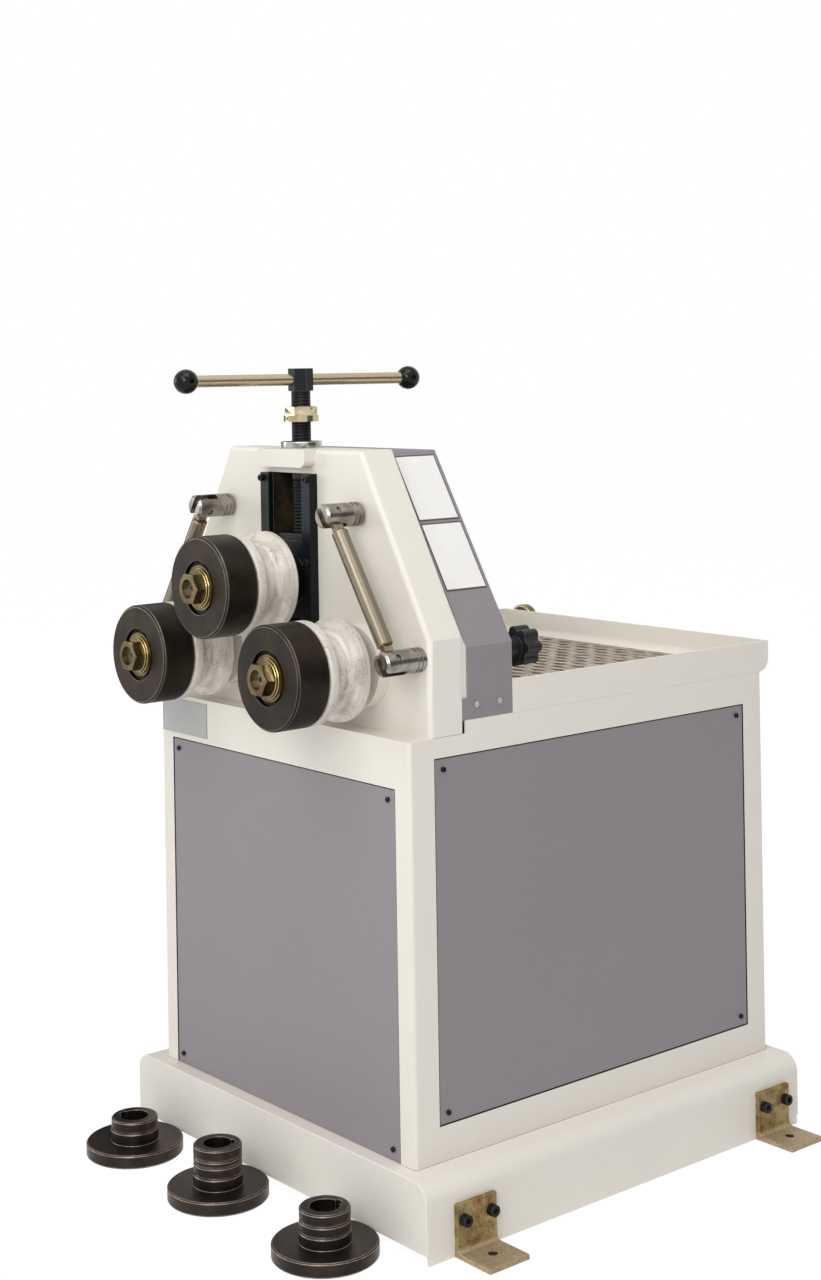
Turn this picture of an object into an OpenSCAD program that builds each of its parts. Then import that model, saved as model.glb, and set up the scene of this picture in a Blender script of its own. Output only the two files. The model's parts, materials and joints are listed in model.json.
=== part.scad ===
// Angle roll bender: three driven and guided rolls on a sheet steel cabinet.
// Millimetres, +Z up, front towards -Y, floor at Z = 0.
// The origin is the middle of the four floor bolts.

/* [Floor bolts] */
// Distance between the floor bolts across the machine
bolt_dx = 772; // [740:1:820]
// Distance between the floor bolts along the machine
bolt_dy = 600; // [540:1:660]
// Diameter of the floor bolt holes
bolt_hole_d = 13; // [11:0.5:18]
// Distance from the plinth side to the floor bolts
bolt_out = 36.4; // [30:0.1:42]
// Leg length of the bracket angle
bracket_leg = 70; // [64:1:90]
// Thickness of the bracket angle
bracket_t = 7; // [5:0.5:10]
// Length of each bracket along the plinth
bracket_w = 69; // [66:1:90]
// Diameter of the bracket screws
bracket_screw_d = 10; // [8:1:12]
// Distance between the two screws of a bracket
bracket_screw_gap = 48; // [36:1:50]
// Height of the bracket screws above the floor
bracket_screw_z = 49; // [38:1:54]

/* [Plinth] */
// Height of the plinth
plinth_h = 105; // [90:1:140]
// Plinth ledge in front of the cabinet
plinth_front = 22; // [10:1:40]
// Plinth ledge behind the cabinet
plinth_rear = 15; // [8:1:40]
// Outer radius of the folded side edges
plinth_r = 25; // [12:1:40]
// Sheet thickness of plinth and cabinet
sheet = 3; // [2:0.5:4]
// Gap between the end plates and the floor
plate_lift = 13; // [4:1:20]

/* [Cabinet] */
// Width of the cabinet
cab_w = 605; // [580:1:640]
// Depth of the cabinet
cab_d = 709; // [690:1:780]
// Height of the cabinet rim that carries the tray
cab_top = 691; // [660:1:740]
// How far the ledge under the head lies below the rim
ledge_drop = 18; // [10:1:30]
// Distance from cabinet front to the front floor bolts
bolt_back = 60; // [50:1:80]
// Width of the stiles beside the front panel
front_stile = 31; // [24:1:45]
// Height of the rail above the front panel
front_rail = 66; // [50:1:80]
// Width of the stiles beside the side panels
side_stile = 43; // [30:1:55]
// Height of the rail below the side panels
side_rail = 48; // [30:1:60]
// Height of the rail above the side panels
side_head = 45; // [36:1:60]
// Thickness of the panels
panel_t = 2; // [1.5:0.5:3]
// Gap round each panel
panel_gap = 2; // [1:0.5:4]
// Distance of the panel screws from the panel edges
panel_inset = 14; // [10:1:18]

/* [Tray] */
// Height of the tray walls
tray_h = 47; // [30:1:70]
// Overhang of the tray behind the cabinet
tray_over = 18; // [8:1:30]
// Radius of the lower rear edge of the tray
tray_r = 20; // [8:1:30]
// Sheet thickness of tray and gear cover
thin = 2; // [1.5:0.5:3]
// Height of the mesh above the tray bottom
mesh_lift = 4; // [3:0.5:8]

/* [Head] */
// Set-back of the head behind the cabinet front
head_back = 37; // [30:1:45]
// Thickness of the head casing
head_t = 57; // [52:1:70]
// Height of the head above the ledge
head_h = 383; // [370:1:400]
// Height of the upright sides of the head
head_side = 131; // [115:1:150]
// Width of the head at its top
head_top_w = 320; // [290:1:350]
// Radius of the front edges of the head
head_r = 9; // [4:0.5:12]
// Depth of the gear chamber behind the casing
chamber_d = 77; // [74:1:90]
// Thickness of the rear bearing plate
plate_t = 14; // [12:1:18]
// Step from the casing outline down to the gear cover on the slopes
cover_step = 8; // [5:1:12]
// Width of the joint strip between casing and gear cover
cover_joint = 10; // [6:1:14]

/* [Rolls] */
// Outer diameter of the rolls
roll_d = 144; // [130:1:150]
// Width of the front steel rings
ring_w = 54; // [46:1:60]
// Width of the grooved tube rolls
tube_w = 70; // [60:1:74]
// Diameter of the tube that fits the grooves
tube_d = 42.4; // [30:0.1:48.3]
// Diameter of the roll shafts
shaft_d = 40; // [36:1:42]
// Distance from the lower roll axes to the sides of the head
roll_edge = 140.5; // [134:0.5:144]
// Height of the lower roll axes above the ledge
roll_h = 84.5; // [80:0.5:90]
// Height of the top roll axis above the lower ones
top_rise = 109.5; // [105:0.5:120]
// Gap between the tube rolls and the cabinet front plane
roll_gap = 5; // [3:1:12]
// Across flats of the roll nuts
nut_af = 41; // [36:1:46]

/* [Spindle] */
// Diameter of the spindle
spindle_d = 28; // [24:1:30]
// Distance of the spindle axis behind the head face
spindle_back = 18; // [17:0.5:20]
// Height of the handle bar above the head
bar_h = 100; // [96:1:120]
// Distance from the spindle axis to the ball centres
bar_reach = 183; // [150:1:220]
// Diameter of the handle bar
bar_d = 17; // [14:1:20]
// Diameter of the ball knobs
ball_d = 35; // [30:1:40]
// Turn of the handle bar away from straight ahead
bar_turn = 8.5; // [0:0.5:30]

/* [Guide arms] */
// Distance from the arm studs to the sides of the head
arm_edge = 20; // [18:0.5:26]
// Height of the arm studs above the ledge
arm_h = 105; // [98:1:112]
// Distance between the two arm pins
arm_len = 228; // [210:1:240]
// Lean of the parked arms from upright
arm_lean = 33.3; // [30:0.1:36]
// Diameter of the slotted clevis ends
clevis_d = 34; // [30:1:36]
// Length of the stud clevis in front of the head
clevis_len = 67; // [64:1:74]
// Diameter of the arm rods
rod_d = 23; // [18:1:25]
// Diameter of the star knobs
star_d = 57; // [48:1:64]

/* [Loose rolls] */
// Thickness of the loose roll flanges
spare_t = 20; // [16:1:26]
// Hub diameter of the loose rolls
spare_hub_d = 71; // [64:1:78]
// Gap between plinth and loose rolls
spare_gap = 4; // [2:1:30]
// Diameter of the loose spacer rings
spare_ring_d = 69; // [62:1:78]
// Sideways places of the three loose rolls
spare_x = [-242, -20, 231]; // [-260:1:260]

/* [Hidden] */
$fn = 64;
// Running clearance, radial
fit = 0.05;
// Free gap between pieces that pass each other
free = 0.5;
// Small gap under pieces that turn on a face
seat = 0.3;
// Reach of a cut past the face that it leaves, and length of a cut right through
over = 1;
deep = 60;
// Head, socket and button head sizes of the screws, as shares of the thread diameter
head_ratio = 1.6;
socket_ratio = 0.8;
button_ratio = 1.75;
cream = [0.87, 0.85, 0.81];
grey = [0.55, 0.52, 0.55];
steel = [0.62, 0.60, 0.57];
dark = [0.22, 0.21, 0.20];
black = [0.10, 0.10, 0.11];
zinc = [0.68, 0.62, 0.43];
white = [0.90, 0.90, 0.88];
brass = [0.72, 0.60, 0.32];
bright = [0.78, 0.78, 0.78];

// Places along Y, from front to rear
y_cab = -bolt_dy / 2 - bolt_back;
y_cab_r = y_cab + cab_d;
y_plinth = y_cab - plinth_front;
y_plinth_r = y_cab_r + plinth_rear;
y_head = y_cab + head_back;
y_head_r = y_head + head_t;
notch_gap = 6;
y_notch = y_head_r + notch_gap;
y_cover = y_head_r + cover_joint;
y_plate = y_head_r + chamber_d;
y_plate_r = y_plate + plate_t;
y_cover_r = y_plate_r + thin;
y_tray = y_cover_r + free;
y_tray_r = y_cab_r + tray_over;
y_tube = y_cab - roll_gap;
y_ring = y_tube - tube_w;
y_roll = y_ring - ring_w;

// Places along X
side_x = bolt_dx / 2 - bolt_out;
cab_x = cab_w / 2;
head_x = cab_x;
roll_x = head_x - roll_edge;
arm_x = head_x - arm_edge;

// Heights
ledge_z = cab_top - ledge_drop;
head_z = ledge_z + head_h;
side_z = ledge_z + head_side;
low_z = ledge_z + roll_h;
top_z = low_z + top_rise;

// Front panel, side panels and the landings behind them
front_x = cab_x - front_stile;
front_z = ledge_z - front_rail;
side_z0 = plinth_h + side_rail;
side_z1 = cab_top - side_head;
side_y0 = y_cab + side_stile;
side_y1 = y_cab_r - side_stile;
landing = 24;
landing_lap = 12;
rim_w = 30;
panel_screw_d = 6;
screw_tip = 2;
cab_r = 6;

// Beams under the ledge, beside the bearing plate
beam_fore = 8;
y_beam = y_head_r - beam_fore;
beam_t = 10;
beam_h = 40;
beam_in = 20;

// Cable gland: height, thread, hexagon, dome and lock nut
gland_up = 60;
gland_z = side_z0 + gland_up;
gland_d = 20;
gland_l = 12;
gland_hex = gland_d + 7;
gland_hex_t = 8;
gland_dome_d = gland_d + 2;
gland_dome_l = 14;
gland_nut = gland_d + 5;
gland_nut_t = 6;
cable_d = 9;

// Inside corner of the bracket angle, backing pads of the bracket screws
bracket_r = 8;
pad_t = 8;
pad_h = 28;

// Roll stack
seat_d = 76;
seat_depth = 8;
stub_d = 27;
washer_d = 64;
washer_t = 6;
hex_t = 20;
collar_d = 60;
boss_out = 20;
y_boss = y_head - boss_out;
y_collar = y_boss - free;
bush_d = shaft_d + 22;
bush_short = 4;
key_w = 10;
key_h = 3;
key_end = 4;
key_fit = 0.1;
centre_d = 8;
rear_collar_d = 54;
rear_collar_t = 6;
shaft_short = 2;
ring_c = 3;
flange_r = 5;
groove_play = 0.8;
groove_out = 3;
y_seat = y_roll + seat_depth;

// Window of the slide, cap over the spindle nut
win_x = 48;
win_lip = 8;
win_lip_t = 10;
win_rise = 92;
win_drop = 35;
win_z0 = ledge_z + win_rise;
win_z1 = head_z - win_drop;
cap_x = 57;
cap_h = 26;
cap_r = 12;
cap_z = head_z - cap_h;

// Gibs, their screws, and the bar across the rear of the window
gib_out = 14;
gib_lip_t = 7.5;
gib_w = 20;
gib_lift = 4;
gib_end = 8;
gib_screw_d = 6;
gib_screw_x = win_x + 6;
gib_grip = 14;
bridge_h = 17.5;
bridge_t = 10;
bridge_drop = 3.5;
gib_edge = win_x - win_lip + gib_w;

// Bosses of the lower shafts, which stay clear of the gibs
boss_full_d = 116;
boss_d = min(boss_full_d, 2 * (roll_x - gib_edge - free));

// Slide block, keeper and spindle
block_x = win_x - fit;
block_up = 57;
block_down = 55;
block_top = top_z + block_up;
block_bot = top_z - block_down;
block_boss_d = 2 * (win_x - win_lip) - 4;
y_block = y_head - gib_out + gib_lip_t + fit;
y_block_r = y_head_r - win_lip_t - fit;
y_block_out = y_head_r + 4;
top_bush_d = shaft_d + 14;
top_bush_l = 34;
y_spin = y_head + spindle_back;
foot_d = spindle_d + 6;
foot_t = 15;
keeper_t = 9;
keeper_in = 6;
keeper_gap = 2;
hex_af = 32;
hex_h = 33;
bar_z = head_z + bar_h;
nut_flange_d = 60;
nut_flange_t = 10;
nut_body_d = 44;
nut_sleeve_d = spindle_d + 4;
sleeve_out = 9;
ball_cut = 2.5;
ball_flat = ball_d / 2 - ball_cut;
ball_stub_d = 10;
ball_stub = 8;
stop_lift = 39;
stop_z = head_z + stop_lift;
stop_d = 51;
stop_flange_t = 9;
stop_hex_t = 13;
stop_hole_d = 5;

// Gear train: module, pressure angle, points of a flank, play
gear_m = 5;
pressure = 20;
flank_n = 3;
backlash = 0.3;
// The roll gears fill the room up to the chamber walls and to each other, the idler bridges them
wall_room = 28.5;
mid_room = 57;
idler_drop = 78.5;
chamber_wall = 5;
gear_tip_r = min(head_x - thin - chamber_wall - roll_x - wall_room, roll_x - mid_room);
gear_n = round(2 * (gear_tip_r - gear_m) / gear_m);
idler_n = round(2 * norm([roll_x, idler_drop]) / gear_m) - gear_n;
wheel_n = 40;
drive_n = 18;
gear_w = 26;
gear_gap = 8;
layer_gap = 6;
y_gear = y_head_r + gear_gap;
y_wheel = y_gear + gear_w + layer_gap;
idler_dist = gear_m * (gear_n + idler_n) / 2;
idler_z = low_z - sqrt(idler_dist * idler_dist - roll_x * roll_x);
drive_z = idler_z - gear_m * (wheel_n + drive_n) / 2;
mesh_angle = atan2(low_z - idler_z, roll_x);
axle_d = 35;
axle_flange_d = axle_d + 12;
axle_head_t = 6;
axle_ring_t = 3;
idler_hub_d = axle_d + 20;
plate_x = 150;
plate_drop = 95;
plate_z0 = drive_z - plate_drop;

// Gearbox and motor
drive_shaft_d = 32;
drive_shaft_in = 10;
drive_hole_d = 90;
drive_nose = 4;
spigot = 8;
gearbox_s = 150;
gearbox_d = 130;
gearbox_flange_d = gearbox_s + 20;
drive_flange_t = 14;
motor_d = 168;
motor_l = 240;
motor_core_d = 144;
cowl_d = 164;
cowl_l = 60;
fin_n = 24;
fin_t = 4;
terminal_w = 90;
terminal_l = 100;
terminal_h = 25;
terminal_back = 40;

// Screws of the gear cover
cover_screw_d = 6;
cover_screw_lift = 20;
cover_screw_y = [25, 67];
cover_tab = 30;

// Guide arms
arm_z = ledge_z + arm_h;
tip_len = clevis_len - 5;
y_clevis = y_head - clevis_len;
pin_back = 20;
y_pin = y_clevis + pin_back;
slot_w = 10.4;
slot_depth = 35;
tongue_t = 10;
tongue_r = 12;
neck_w = 14;
pin_d = 9;
pin_short = 6;
clevis_c = 3;
clevis_groove = 2;
clevis_groove_t = 1;
clevis_groove_y = [8, 15];
rod_start = 25;
rod_c = 2;
stud_d = 20;
knob_hub_d = 30;
knob_hub_h = 26;
knob_h = 26;
knob_n = 7;
knob_lobe_r = 8;
knob_core_d = star_d - 11;

// Loose rolls: bore, keyway and its turn, broken edges, heights of hub and rings
spare_bore_d = shaft_d + 1;
spare_key_w = 12;
spare_key_h = 4;
spare_turn = [110, -31, -8];
spare_c = 2;
spare_y = y_plinth - spare_gap - roll_d / 2;
ring_h = [[18, 16], [17, 15, 9, 16], [16, 14, 16]];

// Tray: rests under the mesh, expanded sheet, stud behind it
rest_w = 20;
rest_n = 4;
rest_pitch = 160;
mesh_t = 3;
mesh_play = 1;
mesh_edge = 8;
mesh_pitch = 44;
mesh_row = 22.5;
mesh_gap_x = 19;
mesh_gap_y = 7.5;
mesh_z = cab_top + thin + mesh_lift;
post_in = 23;
post_lift = 25.5;
post_x = post_in - cab_x;
post_z = cab_top + post_lift;
post_d = 20;
post_l = 14;
post_head_d = 56;
post_head_t = 18;

// The gear cover keeps the casing's sides and lies below its slopes
cover_top_z = head_z - cover_step / 2;
cover_side_z = side_z - cover_step * 1.7;
cover_top_w = head_top_w - 4 * cover_step;

// Helpers

// Cylinder along Y from y0 to y1
module ycyl(d, y0, y1) {
  translate([0, y0, 0])
    rotate([-90, 0, 0])
      cylinder(d = d, h = y1 - y0);
}

// Drawing in X and Z, pulled along Y from y0 to y1
module xz(y0, y1) {
  translate([0, y1, 0])
    rotate([90, 0, 0])
      linear_extrude(y1 - y0)
        children();
}

// Drawing in Y and Z, pulled along X from x0 to x1
module yz(x0, x1) {
  translate([x0, 0, 0])
    rotate([90, 0, 90])
      linear_extrude(x1 - x0)
        children();
}

// Box from one corner to the other
module box(a, b) {
  translate(a)
    cube(b - a);
}

// Rectangle from one corner to the other with round corners
module rounded(a, b, r) {
  translate([a[0] + r, a[1]])
    square([b[0] - a[0] - 2 * r, b[1] - a[1]]);
  translate([a[0], a[1] + r])
    square([b[0] - a[0], b[1] - a[1] - 2 * r]);
  for (x = [a[0] + r, b[0] - r])
    for (y = [a[1] + r, b[1] - r])
      translate([x, y])
        circle(r = r);
}

// Both sides of the machine
module sides() {
  children();
  mirror([1, 0, 0])
    children();
}

// Head outline with upright sides and slopes, set in by d everywhere but at the foot
function a_pts(w, zb, zv, tw, zt, d = 0) =
  let (k = (w - tw) / 2 / (zt - zv),
       hyp = sqrt(1 + k * k),
       x0 = w / 2 - d,
       z0 = zv - d * (hyp - 1) / k,
       x1 = w / 2 - (zt - d - zv) * k - d * hyp)
  [[-x0, zb], [x0, zb], [x0, z0], [x1, zt - d], [-x1, zt - d], [-x0, z0]];

function casing_pts(d = 0, zb = ledge_z) = a_pts(2 * head_x, zb, side_z, head_top_w, head_z, d);

function cover_pts(d = 0, zb = cab_top) = a_pts(2 * head_x, zb, cover_side_z, cover_top_w, cover_top_z, d);

// Angle by which the involute of base radius rb turns away up to radius r
function involute(r, rb) = r > rb ? tan(acos(rb / r)) * 180 / PI - acos(rb / r) : 0;

// Tooth outline of a spur gear with n involute teeth, one tooth centred at angle a0
function gear_pts(n, m, a0) =
  let (rp = m * n / 2,
       rb = rp * cos(pressure),
       r0 = rp - 1.25 * m,
       r1 = rp + m,
       half = 90 / n + involute(rp, rb) - backlash / 2 / rp * 180 / PI,
       flank = [for (k = [0:flank_n]) rb + k / flank_n * (r1 - rb)],
       radii = concat([r0], [for (r = flank) if (r > r0) r]),
       tooth = concat([for (r = radii) [r, -1]], [for (k = [len(radii) - 1:-1:0]) [radii[k], 1]]))
  [for (i = [0:n - 1])
    for (p = tooth)
      let (a = a0 + i * 360 / n + p[1] * (half - involute(p[0], rb)))
      p[0] * [cos(a), sin(a)]];

// Phase of the gear with ng teeth that meshes with one of np teeth at phase p0, seen at angle phi
function mesh_phase(p0, phi, np, ng) = phi + 180 - (p0 - phi) * np / ng + 180 / ng;

module gear(n, a0, bore, y0, y1) {
  xz(y0, y1)
    difference() {
      polygon(gear_pts(n, gear_m, a0));
      circle(d = bore);
    }
}

// Six-sided bar along Z, given across flats
module hexbar(af, h) {
  cylinder(d = af / cos(30), h = h, $fn = 6);
}

// Six-sided nut along Z with a turned chamfer at its far end
module hex_nut(af, h) {
  r0 = af / 2;
  r1 = af / 2 / cos(30) + over;
  intersection() {
    hexbar(af, h);
    rotate_extrude()
      polygon([[0, 0], [r1, 0], [r1, h - (r1 - r0) * tan(30)], [r0, h], [0, h]]);
  }
}

// Socket head screw along Z, its head on the plane z = 0
module socket_screw(d, len) {
  difference() {
    union() {
      translate([0, 0, -len])
        cylinder(d = d, h = len);
      cylinder(d = d * head_ratio, h = d);
    }
    translate([0, 0, d / 2])
      hexbar(d * socket_ratio, d);
  }
}

// Button head screw along Z, its head on the plane z = 0
module button_screw(d, len) {
  difference() {
    union() {
      translate([0, 0, -len])
        cylinder(d = d, h = len);
      cylinder(d = d * button_ratio, h = d / 2);
    }
    translate([0, 0, d / 4])
      hexbar(d * 2 / 3, d / 2);
  }
}

// Base

module base_plinth() {
  color(cream)
    difference() {
      union() {
        xz(y_plinth + sheet, y_plinth_r - sheet)
          difference() {
            plinth_outline(0);
            plinth_outline(sheet);
          }
        sides()
          for (s = [-1, 1])
            box([side_x - sheet - pad_t, s * bolt_dy / 2 - bracket_w / 2, bracket_screw_z - pad_h / 2],
                [side_x - sheet, s * bolt_dy / 2 + bracket_w / 2, bracket_screw_z + pad_h / 2]);
      }
      bracket_screw_places()
        cylinder(d = bracket_screw_d + 2 * fit, h = deep, center = true);
    }
}

// Plates that close the ends of the plinth, clear of the floor
module plinth_ends() {
  color(cream)
    for (y = [y_plinth, y_plinth_r - sheet])
      xz(y, y + sheet)
        intersection() {
          plinth_outline(0);
          translate([-side_x, plate_lift])
            square([2 * side_x, plinth_h]);
        }
}

// Inverted trough seen from the front, set in by d
module plinth_outline(d) {
  r = plinth_r - d;
  union() {
    translate([-side_x + d, -d])
      square([2 * (side_x - d), plinth_h - plinth_r + d]);
    translate([-side_x + plinth_r, -d])
      square([2 * (side_x - plinth_r), plinth_h]);
    for (s = [-1, 1])
      translate([s * (side_x - plinth_r), plinth_h - plinth_r])
        circle(r = r);
  }
}

// Axes of the bracket screws, pointing outwards
module bracket_screw_places() {
  sides()
    for (s = [-1, 1])
      for (e = [-1, 1])
        translate([side_x, (s * bolt_dy + e * bracket_screw_gap) / 2, bracket_screw_z])
          rotate([0, 90, 0])
            children();
}

module floor_brackets() {
  color(zinc)
    difference() {
      sides()
        for (s = [-1, 1])
          translate([side_x, s * bolt_dy / 2, 0])
            xz(-bracket_w / 2, bracket_w / 2)
              angle_outline();
      bracket_screw_places()
        cylinder(d = bracket_screw_d + 2 * fit, h = deep, center = true);
      sides()
        for (s = [-1, 1])
          translate([bolt_dx / 2, s * bolt_dy / 2, -over])
            cylinder(d = bolt_hole_d, h = bracket_t + 2 * over);
    }
}

// Rolled angle seen along its length, with a round inside corner
module angle_outline() {
  inner = bracket_t + bracket_r;
  difference() {
    square(bracket_leg);
    translate([inner, inner])
      circle(r = bracket_r);
    translate([inner, bracket_t])
      square(bracket_leg);
    translate([bracket_t, inner])
      square(bracket_leg);
  }
}

module bracket_screws() {
  color(black)
    bracket_screw_places()
      translate([0, 0, bracket_t])
        socket_screw(bracket_screw_d, bracket_t + sheet + pad_t);
}

// Cabinet

module cabinet_frame() {
  color(cream)
    difference() {
      union() {
        difference() {
          cabinet_block(0);
          cabinet_block(sheet);
        }
        panel_landings();
        sides()
          box([plate_x + beam_in, y_beam, ledge_z - beam_h],
              [cab_x - sheet / 2, y_beam + beam_t, ledge_z - sheet / 2]);
      }
      // panel openings
      box([-front_x, y_cab - over, plinth_h - over], [front_x, y_cab + sheet, front_z]);
      box([-front_x, y_cab_r - sheet, side_z0], [front_x, y_cab_r + over, side_z1]);
      sides()
        box([cab_x - sheet, side_y0, side_z0], [cab_x + over, side_y1, side_z1]);
      // open top inside the rim, and the slot that the bearing plate hangs through
      box([-cab_x + rim_w, y_notch - over, cab_top - sheet - over],
          [cab_x - rim_w, y_cab_r - rim_w, cab_top + over]);
      box([-cab_x + sheet, y_head_r - sheet, ledge_z - sheet - over],
          [cab_x - sheet, y_notch + sheet, cab_top + over]);
      panel_screw_places()
        panel_hole();
    }
}

// Whole outside of the cabinet, set in by d
module cabinet_block(d) {
  translate([0, 0, plinth_h + d])
    linear_extrude(ledge_z - plinth_h - 2 * d)
      rounded([-cab_x + d, y_cab + d], [cab_x - d, y_cab_r - d], cab_r - d);
  translate([0, 0, plinth_h + d])
    linear_extrude(cab_top - plinth_h - 2 * d)
      intersection() {
        rounded([-cab_x + d, y_cab + d], [cab_x - d, y_cab_r - d], cab_r - d);
        translate([-cab_x, y_notch + d])
          square([cab_w, cab_d]);
      }
}

// Strips that the panels lie on, welded into the walls behind the panel openings
module panel_landings() {
  lap = sheet / 2;
  xz(y_cab + lap, y_cab + 2 * sheet)
    difference() {
      translate([-front_x - landing_lap, plinth_h])
        square([2 * (front_x + landing_lap), front_z - plinth_h + landing_lap]);
      translate([-front_x + landing, plinth_h + landing])
        square([2 * (front_x - landing), front_z - plinth_h - 2 * landing]);
    }
  xz(y_cab_r - 2 * sheet, y_cab_r - lap)
    landing_ring(-front_x, front_x);
  sides()
    yz(cab_x - 2 * sheet, cab_x - lap)
      landing_ring(side_y0, side_y1);
}

module landing_ring(a, b) {
  difference() {
    translate([a - landing_lap, side_z0 - landing_lap])
      square([b - a + 2 * landing_lap, side_z1 - side_z0 + 2 * landing_lap]);
    translate([a + landing, side_z0 + landing])
      square([b - a - 2 * landing, side_z1 - side_z0 - 2 * landing]);
  }
}

// Axes of the panel screws at the panel faces, pointing outwards
module front_screw_places() {
  d = panel_gap + panel_inset;
  for (x = [-front_x + d, front_x - d])
    for (z = [plinth_h + d, front_z - d])
      translate([x, y_cab + sheet - panel_t, z])
        rotate([90, 0, 0])
          children();
}

module rear_screw_places() {
  d = panel_gap + panel_inset;
  for (x = [-front_x + d, front_x - d])
    for (z = [side_z0 + d, side_z1 - d])
      translate([x, y_cab_r - sheet + panel_t, z])
        rotate([-90, 0, 0])
          children();
}

module right_screw_places() {
  d = panel_gap + panel_inset;
  for (y = [side_y0 + d, side_y1 - d])
    for (z = [side_z0 + d, side_z1 - d])
      translate([cab_x - sheet + panel_t, y, z])
        rotate([0, 90, 0])
          children();
}

module panel_screw_places() {
  front_screw_places()
    children();
  rear_screw_places()
    children();
  sides()
    right_screw_places()
      children();
}

module panel_hole() {
  cylinder(d = panel_screw_d + 2 * fit, h = deep, center = true);
}

module front_panel() {
  color(grey)
    difference() {
      box([-front_x + panel_gap, y_cab + sheet - panel_t, plinth_h + free],
          [front_x - panel_gap, y_cab + sheet, front_z - panel_gap]);
      front_screw_places()
        panel_hole();
    }
}

module right_panel() {
  color(grey)
    side_panel();
}

module left_panel() {
  color(grey)
    mirror([1, 0, 0])
      side_panel();
}

module side_panel() {
  difference() {
    box([cab_x - sheet, side_y0 + panel_gap, side_z0 + panel_gap],
        [cab_x - sheet + panel_t, side_y1 - panel_gap, side_z1 - panel_gap]);
    right_screw_places()
      panel_hole();
  }
}

module rear_panel() {
  color(grey)
    difference() {
      box([-front_x + panel_gap, y_cab_r - sheet, side_z0 + panel_gap],
          [front_x - panel_gap, y_cab_r - sheet + panel_t, side_z1 - panel_gap]);
      rear_screw_places()
        panel_hole();
      translate([0, y_cab_r, gland_z])
        ycyl(gland_d + 2 * fit, -deep / 2, deep / 2);
    }
}

module panel_screws() {
  color(black)
    panel_screw_places()
      button_screw(panel_screw_d, panel_t + sheet + screw_tip);
}

module cable_gland() {
  y = y_cab_r - sheet + panel_t;
  color(black)
    translate([0, 0, gland_z])
      difference() {
        union() {
          ycyl(gland_d, y - gland_l, y);
          translate([0, y, 0])
            rotate([-90, 0, 0])
              hexbar(gland_hex, gland_hex_t);
          ycyl(gland_dome_d, y + gland_hex_t, y + gland_hex_t + gland_dome_l);
          translate([0, y - panel_t - gland_nut_t, 0])
            rotate([-90, 0, 0])
              hexbar(gland_nut, gland_nut_t - fit);
        }
        ycyl(cable_d, y - deep / 2, y + deep / 2);
      }
}

// Tray

module tray() {
  color(cream) {
    difference() {
      yz(-cab_x, cab_x)
        tray_outline(0);
      yz(-cab_x + thin, cab_x - thin)
        tray_outline(thin);
    }
    for (i = [0:rest_n - 1])
      translate([(i - (rest_n - 1) / 2) * rest_pitch, 0, 0])
        box([-rest_w / 2, y_tray + thin, cab_top + thin / 2], [rest_w / 2, y_cab_r - rest_w / 2, mesh_z]);
  }
}

// Tray seen from the side, set in by d, open at the top
module tray_outline(d) {
  r = tray_r - d;
  up = d > 0 ? over : 0;
  union() {
    translate([y_tray + d, cab_top + d])
      square([y_tray_r - tray_r - y_tray - d, tray_h - d + up]);
    translate([y_tray + d, cab_top + tray_r])
      square([y_tray_r - y_tray - 2 * d, tray_h - tray_r + up]);
    translate([y_tray_r - tray_r, cab_top + tray_r])
      circle(r = r);
  }
}

// Expanded sheet: staggered rows of diamond gaps
module tray_mesh() {
  x0 = cab_x - thin - mesh_play;
  y0 = y_tray + thin + mesh_play;
  y1 = y_cab_r - mesh_play;
  rows = floor((y1 - y0 - 2 * mesh_edge) / mesh_row);
  cols = floor((2 * x0 - 2 * mesh_edge) / mesh_pitch);
  color([0.66, 0.62, 0.56])
    translate([0, 0, mesh_z])
      linear_extrude(mesh_t)
        difference() {
          translate([-x0, y0])
            square([2 * x0, y1 - y0]);
          for (j = [0:rows - 1])
            for (i = [0:cols - 1 - j % 2])
              translate([(i - (cols - 1 - j % 2) / 2) * mesh_pitch, (y0 + y1 + (2 * j + 1 - rows) * mesh_row) / 2])
                polygon([[-mesh_gap_x, 0], [0, -mesh_gap_y], [mesh_gap_x, 0], [0, mesh_gap_y]]);
        }
}

// Stud on the rear wall of the tray, with a thick disc as its head
module roll_post() {
  y1 = y_tray_r + post_l;
  color(zinc)
    translate([post_x, 0, post_z]) {
      ycyl(post_d, y_tray_r, y1 + over);
      translate([0, y1, 0])
        rotate([-90, 0, 0])
          rotate_extrude()
            turned(0, post_head_t, post_head_d / 2);
    }
}

// Head

// Places of the lower rolls, arm studs and gear axes
module at_low(s) {
  translate([s * roll_x, 0, low_z])
    children();
}

module at_stud(s) {
  translate([s * arm_x, 0, arm_z])
    children();
}

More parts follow.
